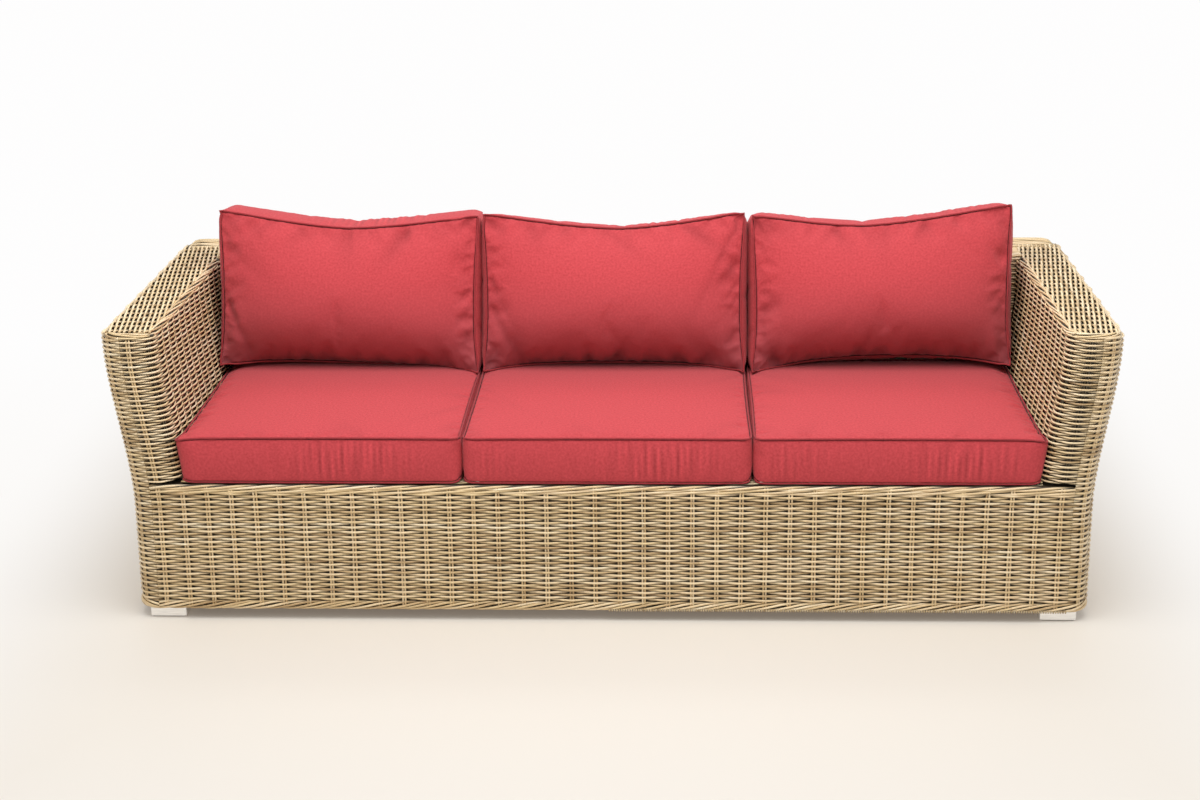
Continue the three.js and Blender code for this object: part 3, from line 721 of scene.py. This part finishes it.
def blow_up(covers):
    """Runs all the covers as cloth under pressure, and keeps where their points end."""
    for cover in covers:
        cloth = cover["piece"].modifiers.new("cloth", "CLOTH")
        for name, value in CLOTH.items():
            setattr(cloth.settings, name, value)
        cloth.settings.effector_weights.gravity = 0
        cloth.point_cache.frame_start = 1
        cloth.point_cache.frame_end = CLOTH_FRAMES
    scene = bpy.context.scene
    for number in range(1, CLOTH_FRAMES + 1):
        scene.frame_set(number)
    settled = bpy.context.evaluated_depsgraph_get()
    for cover in covers:
        points = read_points(cover["piece"].evaluated_get(settled).data)
        moved = points - cover["start"]
        length = np.linalg.norm(moved, axis=1)[:, None]
        kept = np.minimum(length, cover["form"]["cap"]) / np.maximum(length, 1e-9)
        cover["points"] = cover["start"] + moved * kept
    for cover in covers:
        cover["piece"].modifiers.clear()
    scene.frame_set(1)


def crease(cover, seed):
    """Gathers the cloth along the seams: puckers and longer folds of uneven depth that run away
    from a seam and die out in the panel, and droop where the seam is at a side."""
    form, points = cover["form"], cover["points"]
    places = panel_places(form)
    draw = np.random.default_rng(seed)
    half = np.array([form["width"] / 2, form["length"] / 2])
    normals = normals_of(points, cover["quads"])
    for start in (0, len(places)):
        sunk = np.zeros(len(places))
        for axis, end, gather in product((0, 1), (-1, 1), (PUCKERS, FOLDS)):
            inset = half[axis] - end * places[:, axis]
            other = 1 - axis
            count = int(2 * half[other] / gather["spacing"])
            for spot in np.linspace(-1, 1, count) * half[other]:
                spot += draw.normal(0, gather["spacing"] / 3)
                reach = gather["reach"] * draw.uniform(*CREASE_REACH)
                depth = form["creased"] * gather["depth"] * draw.uniform(*CREASE_DEPTH)
                lean = draw.normal(0, gather["lean"]) - FOLD_DROOP * (axis == 0)
                aside = places[:, other] - spot - lean * inset
                width = gather["width"] * (1 + inset / reach / 2)
                fade = np.clip(inset / gather["width"], 0, 1) * np.exp(-(inset / reach) ** 2)
                sunk += depth * np.exp(-(aside / width) ** 2) * fade
        part = slice(start, start + len(places))
        points[part] -= normals[part] * sunk[:, None]
        # Fold depth, by which the material paints shade in the folds
        cover["fold"][part] = sunk / FOLDS["depth"]
    part = slice(2 * len(places), None)
    wave = ripples(*cover["border"], form)
    points[part] += normals[part] * RIPPLE * wave[:, None]
    # The material paints shade in the ripples' hollows and light on their crests
    cover["fold"][part] = -wave


def ripples(u, v, w, form):
    """The wrinkles across a cushion's border at its ends, strongest at mid-height."""
    drift = 2 * np.sin(u * 9 + form["centre"] * 5)
    strength = np.clip(0.45 + 0.55 * np.sin(u * 4.1 + form["centre"] * 9), 0, 1)
    wave = np.sin(u * form["width"] * RIPPLE_TURN + drift + w * RIPPLE_LEAN)
    wave = wave + 0.5 * np.sin(u * form["width"] * RIPPLE_TURN * 1.7 + w + 1.3 * drift)
    return np.where(np.abs(v) == 1, strength * wave * (1 - w * w) * hollow(u, 0, 4), 0)


def read_points(mesh):
    values = np.empty(len(mesh.vertices) * 3, dtype=np.float32)
    mesh.vertices.foreach_get("co", values)
    return values.reshape(-1, 3).astype(float)


def normals_of(points, quads):
    """The outward direction at each point."""
    corners = points[quads]
    face = np.cross(corners[:, 2] - corners[:, 0], corners[:, 3] - corners[:, 1])
    normals = np.zeros_like(points)
    for corner in range(4):
        np.add.at(normals, quads[:, corner], face)
    return normals / np.maximum(np.linalg.norm(normals, axis=1), 1e-12)[:, None]


def finish_cover(cover, limit):
    """Keeps the cover off its neighbours, sinks its seams, smooths it and sews its piping."""
    piece, form = cover["piece"], cover["form"]
    points = limit(cover["points"], 0.0)
    normals = normals_of(points, cover["quads"])
    cords = []
    for seam in cover["seams"]:
        centre = limit(points[seam] + normals[seam] * PIPING_PROUD, PIPING_RADIUS)
        cords.append((centre, normals[seam]))
    for seam in cover["seams"]:
        points[seam] -= normals[seam] * SEAM_SINK
    piece.data.vertices.foreach_set("co", points.astype(np.float32).ravel())
    # Seam points, along which the material paints shade
    cover["seam"] = np.zeros(len(points))
    cover["seam"][np.concatenate(cover["seams"])] = 1
    for name in ("seam", "fold", "under"):
        add_values(piece.data, name, cover[name])
    smooth = piece.modifiers.new("smooth", "SUBSURF")
    smooth.levels = 1
    smooth.render_levels = 1
    graph = bpy.context.evaluated_depsgraph_get()
    fine = bpy.data.meshes.new_from_object(
        piece.evaluated_get(graph), preserve_all_data_layers=True, depsgraph=graph,
    )
    piece.modifiers.clear()
    piece.data = fine
    fine.shade_smooth()
    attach(piece, form["body"])
    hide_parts(f"{form['body']}_cover", f"{form['body']}_core")
    piping = add_object(f"{form['body']}_piping", piping_mesh(cords), form["piping_material"])
    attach(piping, form["body"])


def piping_mesh(cords):
    """Closed loops of round cord along the seams."""
    turn = np.arange(PIPING_SIDES) * 2 * math.pi / PIPING_SIDES
    points, quads, places = [], [], []
    base = 0
    for centre, normal in cords:
        tangent = unit(np.roll(centre, -1, axis=0) - np.roll(centre, 1, axis=0))
        points.append(tube(centre, normal, tangent, PIPING_RADIUS, turn))
        grid = base + np.arange(len(centre) * PIPING_SIDES).reshape(-1, PIPING_SIDES)
        onward = np.roll(grid, -1, axis=0)
        loops = [grid, onward, np.roll(onward, -1, axis=1), np.roll(grid, -1, axis=1)]
        quads.append(np.stack(loops, axis=-1).reshape(-1, 4))
        step = np.linalg.norm(np.roll(centre, -1, axis=0) - centre, axis=1)
        run = np.concatenate([[0], np.cumsum(step)])
        near, far = run[:-1, None], run[1:, None]
        low = turn * PIPING_RADIUS
        high = low + 2 * math.pi / PIPING_SIDES * PIPING_RADIUS
        places.append(corner_places((near, low), (far, low), (far, high), (near, high)))
        base += grid.size
    mesh = quad_mesh("piping", np.concatenate(points), np.concatenate(quads))
    add_values(mesh, "cloth_place", np.concatenate(places), "CORNER")
    return mesh


# The under_ keys place each cushion's painted shade: a seat's top towards its rear, a back's front
# low down
SEAT_SHAPE = {
    "place": place_seat, "middle": (seat_high.y + seat_low.y) / 2,
    "length": seat_high.y - seat_low.y - 2 * SEAT_SWELL, "bottom": SEAT_HEIGHT + PIPING_RADIUS,
    "thickness": SEAT_THICKNESS, "corner_reach": 0.024, "corner_cut": 0.0055,
    "side_draw": 0.003, "side_middle": 0.0, "far_draw": 0.004, "far_middle": 0.0,
    "far_power": 2, "near_draw": 0.004, "swell": SEAT_SWELL, "side_swell": 0.007,
    "crown": 0.012, "rear_crown": 0.0, "crown_middle": 0.0, "crown_power": 3, "tuck": 0.0,
    "tilt": 0.0, "foot_tilt": 0.0, "cap": 0.012, "creased": 0.35, "fill": 0.75,
    "under_side": 1, "under_start": -0.1, "under_most": 0.6,
}
BACK_SHAPE = {
    "place": place_back, "thickness": BACK_THICKNESS, "corner_reach": 0.034,
    "corner_cut": 0.004, "side_draw": 0.012, "side_middle": -0.25, "far_draw": 0.037,
    "far_power": 1.5, "swell": 0.008, "side_swell": 0.016, "crown": 0.060, "rear_crown": 0.012,
    "crown_middle": -0.2, "crown_power": 2.2, "tuck": 0.062, "cap": 0.026, "creased": 1.0,
    "fill": 0.6, "under_side": -1, "under_start": -0.35, "under_most": 1.0,
}

# Each seat cushion: its sides across the sofa, and the side on which it meets an arm
SEATS = {
    "left": (-seat_reach, SEAT_GAPS[0] - HALF_GAP, -1),
    "middle": (SEAT_GAPS[0] + HALF_GAP, SEAT_GAPS[1] - HALF_GAP, 0),
    "right": (SEAT_GAPS[1] + HALF_GAP, seat_reach, 1),
}

# Each back cushion: its sides across the sofa, and what BACK_OWN names
BACK_OWN = ("length", "tilt", "foot_tilt", "bottom", "fall", "far_middle", "near_draw")
BACKS = {
    "left": (-0.944, -0.3215, 0.367, -1.3, -1.1, back_low.z - 0.006, 0.017, 0.0, 0.006),
    "middle": (-0.3155, 0.3085, 0.367, 0.2, -0.3, back_low.z - 0.008, 0.040, 0.05, 0.010),
    "right": (0.3205, 0.934, 0.371, 2.1, 0.0, back_low.z - 0.005, 0.030, -0.12, 0.022),
}


def new_cover(word, kind, left, right, materials, shape, seed):
    """A cushion's cover between two places across the sofa, before it is blown up."""
    form = {
        "body": f"{word}_{kind}_cushion", "centre": (left + right) / 2, "width": right - left,
        "material": materials[0], "piping_material": materials[1], **shape,
    }
    return start_cover(f"{word}_{kind}_pad", form, seed)


def stay_on_deck(points, margin):
    """Points of a seat cushion, kept above the deck and below the back cushions."""
    kept = points.copy()
    floor = SEAT_HEIGHT + REST_GAP + margin - front_droop(kept[:, 1])
    kept[:, 2] = np.maximum(kept[:, 2], floor)
    ceiling = seat_top_height(kept) - REST_GAP
    kept[:, 2] = np.where(kept[:, 2] > CUSHION_MIDDLE, np.minimum(kept[:, 2], ceiling), kept[:, 2])
    return kept


def build_cushions(materials):
    seats = [
        new_cover(word, "seat", left, right, materials, {**SEAT_SHAPE, "arm_side": arm_side}, seed)
        for seed, (word, (left, right, arm_side)) in enumerate(SEATS.items(), 21)
    ]
    backs = [
        new_cover(word, "back", left, right, materials, {**BACK_SHAPE, **dict(zip(BACK_OWN, own))},
                  seed)
        for seed, (word, (left, right, *own)) in enumerate(BACKS.items(), 31)
    ]
    covers = seats + backs
    blow_up(covers)
    for seed, cover in enumerate(covers, 41):
        crease(cover, seed)
    for cover in seats:
        finish_cover(cover, stay_on_deck)
    for cover in backs:
        finish_cover(cover, stay_off_frame)


def stay_off_frame(points, margin):
    """Points of a back cushion, kept in front of the backrest and above the seat cushions."""
    kept = points.copy()
    kept[:, 2] = np.maximum(kept[:, 2], seat_top_height(kept) + margin)
    plane = back_lean(np.minimum(kept[:, 2], CAP))
    kept[:, 1] = np.minimum(kept[:, 1], plane - REST_GAP - margin)
    return kept


def seat_top_height(points):
    """The top of the seat cushions under points, a little above their crowns."""
    number = np.searchsorted(SEAT_GAPS, points[:, 0], side="right")
    sides = np.array([-seat_reach, *SEAT_GAPS, seat_reach])
    left, right = sides[number], sides[number + 1]
    along = np.clip((points[:, 1] - seat_low.y) / (seat_high.y - seat_low.y) * 2 - 1, -1, 1)
    across = np.clip((points[:, 0] - left) / (right - left) * 2 - 1, -1, 1)
    edge = SEAT_HEIGHT + 2 * PIPING_RADIUS + SEAT_THICKNESS + REST_GAP
    return edge + (back_low.z - edge) * hollow(along, 0, 4) * hollow(across, 0, 4)


# Materials


def node_material(name, roughness, metallic=0.0):
    """A new material, its node tree and its shader."""
    material = bpy.data.materials.new(name)
    material.use_nodes = True
    tree = material.node_tree
    shader = tree.nodes["Principled BSDF"]
    set_inputs(tree, shader, {"Roughness": roughness, "Metallic": metallic})
    return material, tree, shader


def set_inputs(tree, node, inputs):
    """Sets inputs of a node to values, or links them to other nodes' outputs."""
    for key, value in inputs.items():
        if isinstance(value, bpy.types.NodeSocket):
            tree.links.new(value, node.inputs[key])
        else:
            node.inputs[key].default_value = value


def add_node(tree, kind, inputs=(), **settings):
    """A new node with its settings and its inputs."""
    node = tree.nodes.new(f"ShaderNode{kind}")
    for name, value in settings.items():
        setattr(node, name, value)
    set_inputs(tree, node, dict(inputs))
    return node


def reckon(tree, operation, *values):
    """The result of a sum on numbers and on other nodes' outputs."""
    return add_node(tree, "Math", enumerate(values), operation=operation).outputs[0]


def stored(tree, name, output="Fac"):
    """What a mesh holds under a name."""
    return add_node(tree, "Attribute", attribute_name=name).outputs[output]


def noise(tree, place, scale, detail):
    inputs = {"Vector": place, "Scale": scale, "Detail": detail}
    return add_node(tree, "TexNoise", inputs).outputs["Fac"]


def stretched(tree, place, factors):
    inputs = {0: place, 1: factors}
    return add_node(tree, "VectorMath", inputs, operation="MULTIPLY").outputs[0]


def map_range(tree, value, near, far, low=0.0, high=1.0, **settings):
    inputs = {"Value": value, "From Min": near, "From Max": far, "To Min": low, "To Max": high}
    return add_node(tree, "MapRange", inputs, **settings).outputs["Result"]


def mix_colours(tree, factor, first, second, **settings):
    inputs = {"Factor": factor, "A": first, "B": second}
    return add_node(tree, "Mix", inputs, data_type="RGBA", **settings).outputs["Result"]


def add_bump(tree, shader, height, strength):
    inputs = {"Height": height, "Strength": strength, "Distance": BUMP_DISTANCE}
    set_inputs(tree, shader, {"Normal": add_node(tree, "Bump", inputs).outputs["Normal"]})


def colour_ramp(tree, value, stops):
    """A colour that changes with a value, from stop to stop."""
    ramp = add_node(tree, "ValToRGB", {"Fac": value})
    elements = ramp.color_ramp.elements
    while len(elements) < len(stops):
        elements.new(0.5)
    for element, (position, colour) in zip(elements, stops):
        element.position = position
        element.color = (*colour, 1)
    return ramp.outputs["Color"]


def cane_material():
    """Cane: lengths of different tones with streaks along them, and painted shade where deep."""
    material, tree, shader = node_material("cane", 0.34)
    flow = stretched(tree, stored(tree, "cane_flow", "Vector"), (9, 1.1, 1.1))
    streaks = reckon(tree, "MULTIPLY", noise(tree, flow, 1.6, 3), 0.5)
    tone = reckon(tree, "MULTIPLY_ADD", stored(tree, "cane_tone"), 0.55, streaks)
    # Painted shade: the colour darkens with depth, for the shadow down in the weave
    sunk = map_range(tree, stored(tree, "cane_depth"), -0.30, 0.45, 0.045, 1.0)
    colour = colour_ramp(tree, tone, CANE_TONES)
    colour = mix_colours(tree, 1, colour, sunk, blend_type="MULTIPLY")
    set_inputs(tree, shader, {"Base Color": colour})
    return material


def fabric_material(name, tone):
    """Canvas: a plain weave of fine yarns with slubs, and painted shade at its seams and folds."""
    material, tree, shader = node_material(name, 0.85)
    place = stored(tree, "cloth_place", "Vector")
    slubs = noise(tree, place, 190, 4)
    dark, light, under = (
        [tone * value for value in colour] for colour in (FABRIC_DARK, FABRIC, FABRIC_UNDER_SHADE)
    )
    colour = colour_ramp(tree, slubs, [(0.3, dark), (0.7, light)])
    # Painted shade: a duller, darker red low on the backs and towards the seats' rear
    colour = mix_colours(tree, stored(tree, "under"), colour, (*under, 1))
    # Painted shade in the folds and the ripples' hollows, painted light on the ripples' crests
    dimmed = reckon(tree, "MULTIPLY_ADD", stored(tree, "fold"), -FOLD_SHADE, 1)
    # Painted shade along the seams
    sunk = map_range(tree, stored(tree, "seam"), 0.2, 0.9, 1.0, 0.08)
    shade = reckon(tree, "MULTIPLY", dimmed, sunk)
    set_inputs(tree, shader, {
        "Base Color": mix_colours(tree, 1, colour, shade, blend_type="MULTIPLY"),
        "Sheen Weight": 0.10, "Sheen Roughness": 0.5, "Specular IOR Level": 0.15,
    })

    parts = add_node(tree, "SeparateXYZ", {0: place}).outputs
    turns = (reckon(tree, "MULTIPLY", parts[axis], 2 * math.pi / YARN_PITCH) for axis in "XY")
    weave = reckon(tree, "MULTIPLY", *(reckon(tree, "SINE", turn) for turn in turns))
    add_bump(tree, shader, reckon(tree, "MULTIPLY_ADD", weave, 0.35, slubs), 0.35)
    return material


def add_wall(name, node, surface, run, low, high, stake_end, inside_end, cane, phase=STAKE_OFFSET):
    """A wall of rows, stakes and a lining, between two distances along the outline."""
    strands = wall_rows(surface, *run, low, high, phase)
    strands += stakes(surface, *run, max(low, SKIN_BOTTOM + STAKE_START), stake_end, phase)
    inside = shade_sheet(surface, *run, low, inside_end)
    add_cane(name, strands, cane, node, shade_sheets=[inside])


def add_inner_arm(word, arm, phase, cane):
    """The inner face of an arm and its nose. Each row ends at the leaning back."""
    strands = []
    heights, first = row_heights(SEAT_HEIGHT - 0.002, WALL_TOP)
    for index, up in enumerate(heights, first):
        start = NOSE_END - (back_lean(min(up, CAP)) + BACK_CLEARANCE - NOSE_CENTRE)
        strands.append(woven_row(arm, start, FRONT_RUN, up, index, phase=phase,
                                 radius=ARM_STRAND_RADIUS))
    start = NOSE_END - (SEAT_BACK_Y - NOSE_CENTRE)
    strands += stakes(arm, NOSE_START, FRONT_RUN, SEAT_HEIGHT, CAP, phase)
    strands += stakes(arm, start, NOSE_START, SEAT_HEIGHT, CAP, phase, lift=SUNK_STAKE)
    inside = shade_sheet(arm, start, FRONT_RUN, SEAT_HEIGHT, EDGE_END)
    add_cane(f"woven_{word}_arm", strands, cane, f"{word}_arm_inner_weave", shade_sheets=[inside])


def add_arm_top(word, side, phase, cane):
    """The flat top of an arm: rows along it over pairs of sunk stakes across it."""
    top = level(ARM_TOP, True)
    inner_x = outer_half(CAP) - ARM_THICKNESS
    low, width = inner_x + EDGE_ROUND, ARM_THICKNESS - 2 * EDGE_ROUND
    count = int(width / ARM_ROW_PITCH)
    start, end = FRONT_Y + ARM_TOP_INSET, BACK_Y - BAND_DEPTH - ROLL_GAP
    phase = FRONT_CENTRE + (phase - CORNER_END)
    strands = [
        woven_row(top, start, end, side * (low + index * width / count), index, phase=phase,
                  pitch=ARM_STAKE_PITCH, power=ARM_DIP_POWER)
        for index in range(count + 1)
    ]
    across = side * np.linspace(low - EDGE_ROUND / 2, low + width - EDGE_ROUND / 5, 4)
    strands += [
        strand(top, np.full(4, position + half), across, np.full(4, SUNK_STAKE), ARM_STRAND_RADIUS)
        for position in stake_positions(start, end, phase, ARM_STAKE_PITCH)
        for half in (-STAKE_HALF_GAP, STAKE_HALF_GAP)
    ]
    inside = shade_sheet(top, start, end, *sorted((side * low, side * (low + width))))
    add_cane(f"woven_{word}_arm_top", strands, cane, f"{word}_arm_top_weave", shade_sheets=[inside])


def build_woven_body(cane):
    """Every woven part: the sides, arms, apron, borders, back and deck."""
    for side, word in ((1, "right"), (-1, "left")):
        base, arm = skin(side, BASE_KNOTS), skin(side, ARM_KNOTS)
        phase = STAKE_OFFSET * side
        add_wall(f"woven_{word}_side", f"{word}_side_weave", base, (FRONT_RUN, REAR_END),
                 SKIN_BOTTOM, WALL_TOP, WALL_TOP, EDGE_END, cane, phase)
        if side == 1:
            run = (REAR_END, REAR_FAR_END)
            add_wall("woven_back_low", "back_outer_weave", base, run, SKIN_BOTTOM, SEAT_HEIGHT,
                     SEAT_HEIGHT, SEAT_HEIGHT, cane)
            add_wall("woven_back_high", "back_outer_weave", base, run, SEAT_HEIGHT, WALL_TOP,
                     WALL_TOP, EDGE_END, cane)
        add_inner_arm(word, arm, phase, cane)
        add_arm_top(word, side, phase, cane)
        edge = border(arm, NOSE_END - ARM_BORDER_RUN, FRONT_RUN + ARC / 2, INNER_EDGE,
                      radius=ARM_STRAND_RADIUS)
        edge += border(base, CORNER_END - ARC / 2, REAR_START, OUTER_EDGE,
                       radius=ARM_STRAND_RADIUS)
        add_cane(f"{word}_arm_border", edge, cane)

    front, run = skin(1, BASE_KNOTS), (-FRONT_RUN, FRONT_RUN)
    add_wall("woven_apron", "front_apron_weave", front, run, SKIN_BOTTOM,
             SEAT_HEIGHT - RIM_CLEARANCE, SEAT_HEIGHT - STAKE_INSET - RIM_DROP,
             SEAT_HEIGHT - EDGE_ROUND, cane)
    rim = [piece for shape in RIM_EDGES for piece in border(front, *run, shape)]
    rim += border(deck_level, *run, LEDGE_EDGE, sink=RIM_DROP - 0.001)
    add_cane("apron_rim", rim, cane)

    bottom = wrapped_ends(front)
    for side, start, end in ((1, -FRONT_RUN, REAR_FAR_END), (-1, FRONT_RUN, REAR_END)):
        bottom += border(skin(side, BASE_KNOTS), start, end, BOTTOM_EDGE)
    add_cane("bottom_border", bottom, cane)
    build_back_top(cane)
    build_deck(cane)


def wrapped_ends(surface):
    """The ends of the strands, turned under the bottom edge of the front's right half, in painted
    shade.
    """
    up = np.array(WRAP_HEIGHTS) + SKIN_BOTTOM
    lift = np.array(WRAP_LIFTS) - WRAP_RADIUS
    wraps = [
        strand(surface, np.full(3, along), up, lift + MID_DEPTH, WRAP_RADIUS)
        for along in np.arange(0, FRONT_RUN, WRAP_PITCH)
    ]
    # The material reads them as lying MID_DEPTH deeper than they do, which paints them darker:
    # painted shade
    for wrap in wraps:
        wrap["lift"] = lift
    return wraps


def build_back_top(cane):
    """The inner face of the back and its top, as far as the roll along the rear edge."""
    strands = []
    for index in range(1, int(BACK_RISE / ROW_PITCH)):
        up = index * ROW_PITCH
        half = outer_half(SEAT_HEIGHT + up * math.cos(BACK_LEAN)) - ARM_THICKNESS
        strands.append(woven_row(back_face, -half, half, up, index))
    half = outer_half(CAP) - ARM_THICKNESS
    strands += stakes(back_face, -half, half, STAKE_INSET, BACK_RISE)
    inside = shade_sheet(back_face, -half, half, 0, BACK_RISE)
    add_cane("woven_back_face", strands, cane, "back_inner_weave", shade_sheets=[inside])

    start = BACK_RISE - ROW_PITCH
    turned = BACK_RISE + EDGE_ROUND * BACK_TURN
    front_edge = SEAT_BACK_Y + BACK_RISE * math.sin(BACK_LEAN) + EDGE_ROUND * math.cos(BACK_LEAN)
    end = turned + (BACK_Y - EDGE_ROUND - front_edge)
    band_start = end - (BAND_DEPTH - EDGE_ROUND) - ROLL_GAP
    half += EDGE_ROUND
    strands = [
        woven_row(back_face, -half, half, start + index * ROW_PITCH, index)
        for index in range(int((band_start - start) / ROW_PITCH))
    ]
    strands += stakes(back_face, -half, half, start, band_start)
    inside = shade_sheet(back_face, -TOP_HALF + EDGE_ROUND, TOP_HALF - EDGE_ROUND, turned, end)
    add_cane("woven_back_top", strands, cane, "back_top_weave", shade_sheets=[inside])
    add_cane("back_top_roll", back_roll(), cane)


def back_roll():
    """The rounded band along the rear edge: a bundle of long strands that tapers at its ends."""
    reach = TOP_HALF - EDGE_ROUND
    half_band = BAND_DEPTH / 2
    along = np.linspace(-reach, reach, int(2 * reach / BORDER_STEP))
    from_end = np.clip((reach - np.abs(along)) / ROLL_END, 0, 1)
    taper = np.sqrt(1 - (1 - from_end) ** 2)
    narrowed = 1 - ROLL_NARROWING * (1 - from_end) ** 2
    strands = []
    for index in range(ROLL_STRANDS):
        turn = math.pi * (1 - index / (ROLL_STRANDS - 1))
        twist = 2 * math.pi * (along / ROLL_PERIOD + index / 3)
        angle = np.clip(turn + ROLL_DRIFT * np.sin(twist) * math.sin(turn), 0, math.pi)
        swell = 1 + ROLL_SWELL * np.cos(twist)
        rise = (np.sin(angle) * swell + ROLL_FOOT) * taper - ROLL_FOOT
        point = np.stack([
            along,
            BACK_Y - half_band + (half_band - STRAND_RADIUS) * np.cos(angle) * narrowed,
            ARM_TOP - ROLL_SINK + ROLL_HEIGHT * rise,
        ], axis=1)
        outward = unit(np.stack([0 * along, 0.5 * np.cos(angle), np.sin(angle) + 0.3], axis=1))
        # Lift is read only by the material: painted shade where the bundle narrows, painted
        # highlight where it swells
        lift = 3 * WAVE * (swell - 1)
        strands.append({"centre": point, "outward": outward, "lift": lift, "radius": ROLL_RADIUS})
    return strands


def build_deck(cane):
    """The woven deck under the seat cushions, flatter and coarser than the walls."""
    half = deck_high.x - STAKE_INSET
    strands = [
        woven_row(deck_level, -half, half, deck_low.y + 0.003 + index * DECK_PITCH, index,
                  wave=DECK_WAVE, radius=DECK_RADIUS)
        for index in range(int((deck_high.y - deck_low.y) / DECK_PITCH))
    ]
    strands += stakes(deck_level, -half, half, deck_low.y + STAKE_INSET,
                      deck_high.y - STAKE_INSET, radius=DECK_STAKE_RADIUS)
    add_cane("woven_seat_deck", strands, cane, "seat_deck_weave")


def dress_metal():
    """Gives the tubes, feet and glides that show their own material."""
    for node, piece in frame["nodes"].items():
        kind = node.rsplit("_", 1)[-1]
        if kind not in METALS:
            if not piece.data.materials or body_of(piece) != ["frame"]:
                continue
            kind = "tube"
        piece.data.materials.clear()
        piece.data.materials.append(METALS[kind])


def metal_material(name, colour, roughness, metallic, grain):
    """Metal or plastic with a fine grain, counted in grains to the metre along x, y and z."""
    material, tree, shader = node_material(name, roughness, metallic)
    place = stretched(tree, add_node(tree, "TexCoord").outputs["Object"], grain)
    grains = noise(tree, place, 1, 4)
    stops = [(0.3, [GRAIN_SHADE * value for value in colour]), (0.7, colour)]
    set_inputs(tree, shader, {"Base Color": colour_ramp(tree, grains, stops)})
    add_bump(tree, shader, grains, 0.15)
    return material


METALS = {
    "foot": metal_material("brushed_foot", (0.98, 0.97, 0.95), 0.3, 0.9, (40, 40, 900)),
    "glide": metal_material("glide_rubber", (0.03, 0.03, 0.03), 0.7, 0.0, (200, 200, 200)),
    "tube": metal_material("coated_tube", (0.10, 0.075, 0.05), 0.5, 0.2, (150, 150, 150)),
}


# Stage, light and camera


def add_stage():
    """A warm floor round the sofa that fades into white."""
    reach = FLOOR_REACH
    corners = [(-reach, -reach, 0), (reach, -reach, 0), (reach, reach, 0), (-reach, reach, 0)]
    mesh = bpy.data.meshes.new("floor")
    mesh.from_pydata(corners, [], [(0, 1, 2, 3)])
    material, tree, shader = node_material("floor", 0.6)
    set_inputs(tree, shader, {
        "Base Color": (0.62, 0.595, 0.55, 1), "Emission Color": (0.17, 0.14, 0.11, 1),
        "Emission Strength": 1,
    })
    place = add_node(tree, "TexCoord").outputs["Object"]
    parts = add_node(tree, "SeparateXYZ", {0: place}).outputs
    whiteness = 0
    for axis, near, far in FLOOR_FADES:
        fade = map_range(tree, parts[axis], near, far, interpolation_type="SMOOTHSTEP")
        whiteness = reckon(tree, "MAXIMUM", whiteness, fade)
    white = colour_ramp(tree, map_range(tree, parts["Y"], -2.0, 1.8), FLOOR_WHITES)
    glow = add_node(tree, "Emission", {"Color": white}).outputs[0]
    blend = add_node(tree, "MixShader", {"Fac": whiteness, 1: shader.outputs[0], 2: glow})
    set_inputs(tree, tree.nodes["Material Output"], {"Surface": blend.outputs[0]})
    floor = add_object("floor", mesh, material)


def add_light(name, place, target, size, power):
    data = bpy.data.lights.new(name, "AREA")
    data.shape = "RECTANGLE"
    data.size, data.size_y = size
    data.energy = power
    lamp = bpy.data.objects.new(name, data)
    bpy.context.scene.collection.objects.link(lamp)
    lamp.location = place
    lamp.rotation_euler = (Vector(target) - Vector(place)).to_track_quat("-Z", "Y").to_euler()


def add_lights():
    add_light("overhead", (0.0, -0.95, 2.9), (0, -0.1, 0.4), (3.4, 1.6), 75)
    add_light("key", (0.2, -3.4, 3.8), (0, 0, 0.4), (4.6, 2.6), 30)
    add_light("rear", (0.0, 1.5, 2.5), (0, 0.2, 0.7), (3.4, 0.6), 10)
    world = bpy.data.worlds.new("studio")
    world.use_nodes = True
    bpy.context.scene.world = world
    tree = world.node_tree
    rays = add_node(tree, "LightPath").outputs
    seen = reckon(tree, "MAXIMUM", rays["Is Camera Ray"], rays["Is Glossy Ray"])
    strength = map_range(tree, seen, 0.0, 1.0, WORLD_LIGHT, 1.0)
    set_inputs(tree, tree.nodes["Background"], {"Color": (1, 1, 1, 1), "Strength": strength})


def add_camera():
    """The photograph's camera, turned about its target and moved back from it."""
    data = bpy.data.cameras.new("camera")
    data.sensor_width = SENSOR_WIDTH
    data.lens = FOCAL_PIXELS / IMAGE_WIDTH * SENSOR_WIDTH
    camera = bpy.data.objects.new("camera", data)
    bpy.context.scene.collection.objects.link(camera)
    place = Matrix.Translation(CAMERA_TARGET)
    for angle, axis in (
        (CAMERA_AZIMUTH, "Z"), (math.pi / 2 - CAMERA_ELEVATION, "X"), (CAMERA_ROLL, "Z"),
    ):
        place = place @ Matrix.Rotation(angle, 4, axis)
    camera.matrix_world = place @ Matrix.Translation((0, 0, CAMERA_DISTANCE))
    bpy.context.scene.camera = camera


bpy.context.scene.view_settings.view_transform = "Standard"
add_camera()
add_stage()
add_lights()
build_woven_body(cane_material())
# The piping takes a darker canvas: painted shade for the lines along the seams
build_cushions((fabric_material("canvas", 1.0), fabric_material("piping_canvas", PIPING_SHADE)))
dress_metal()
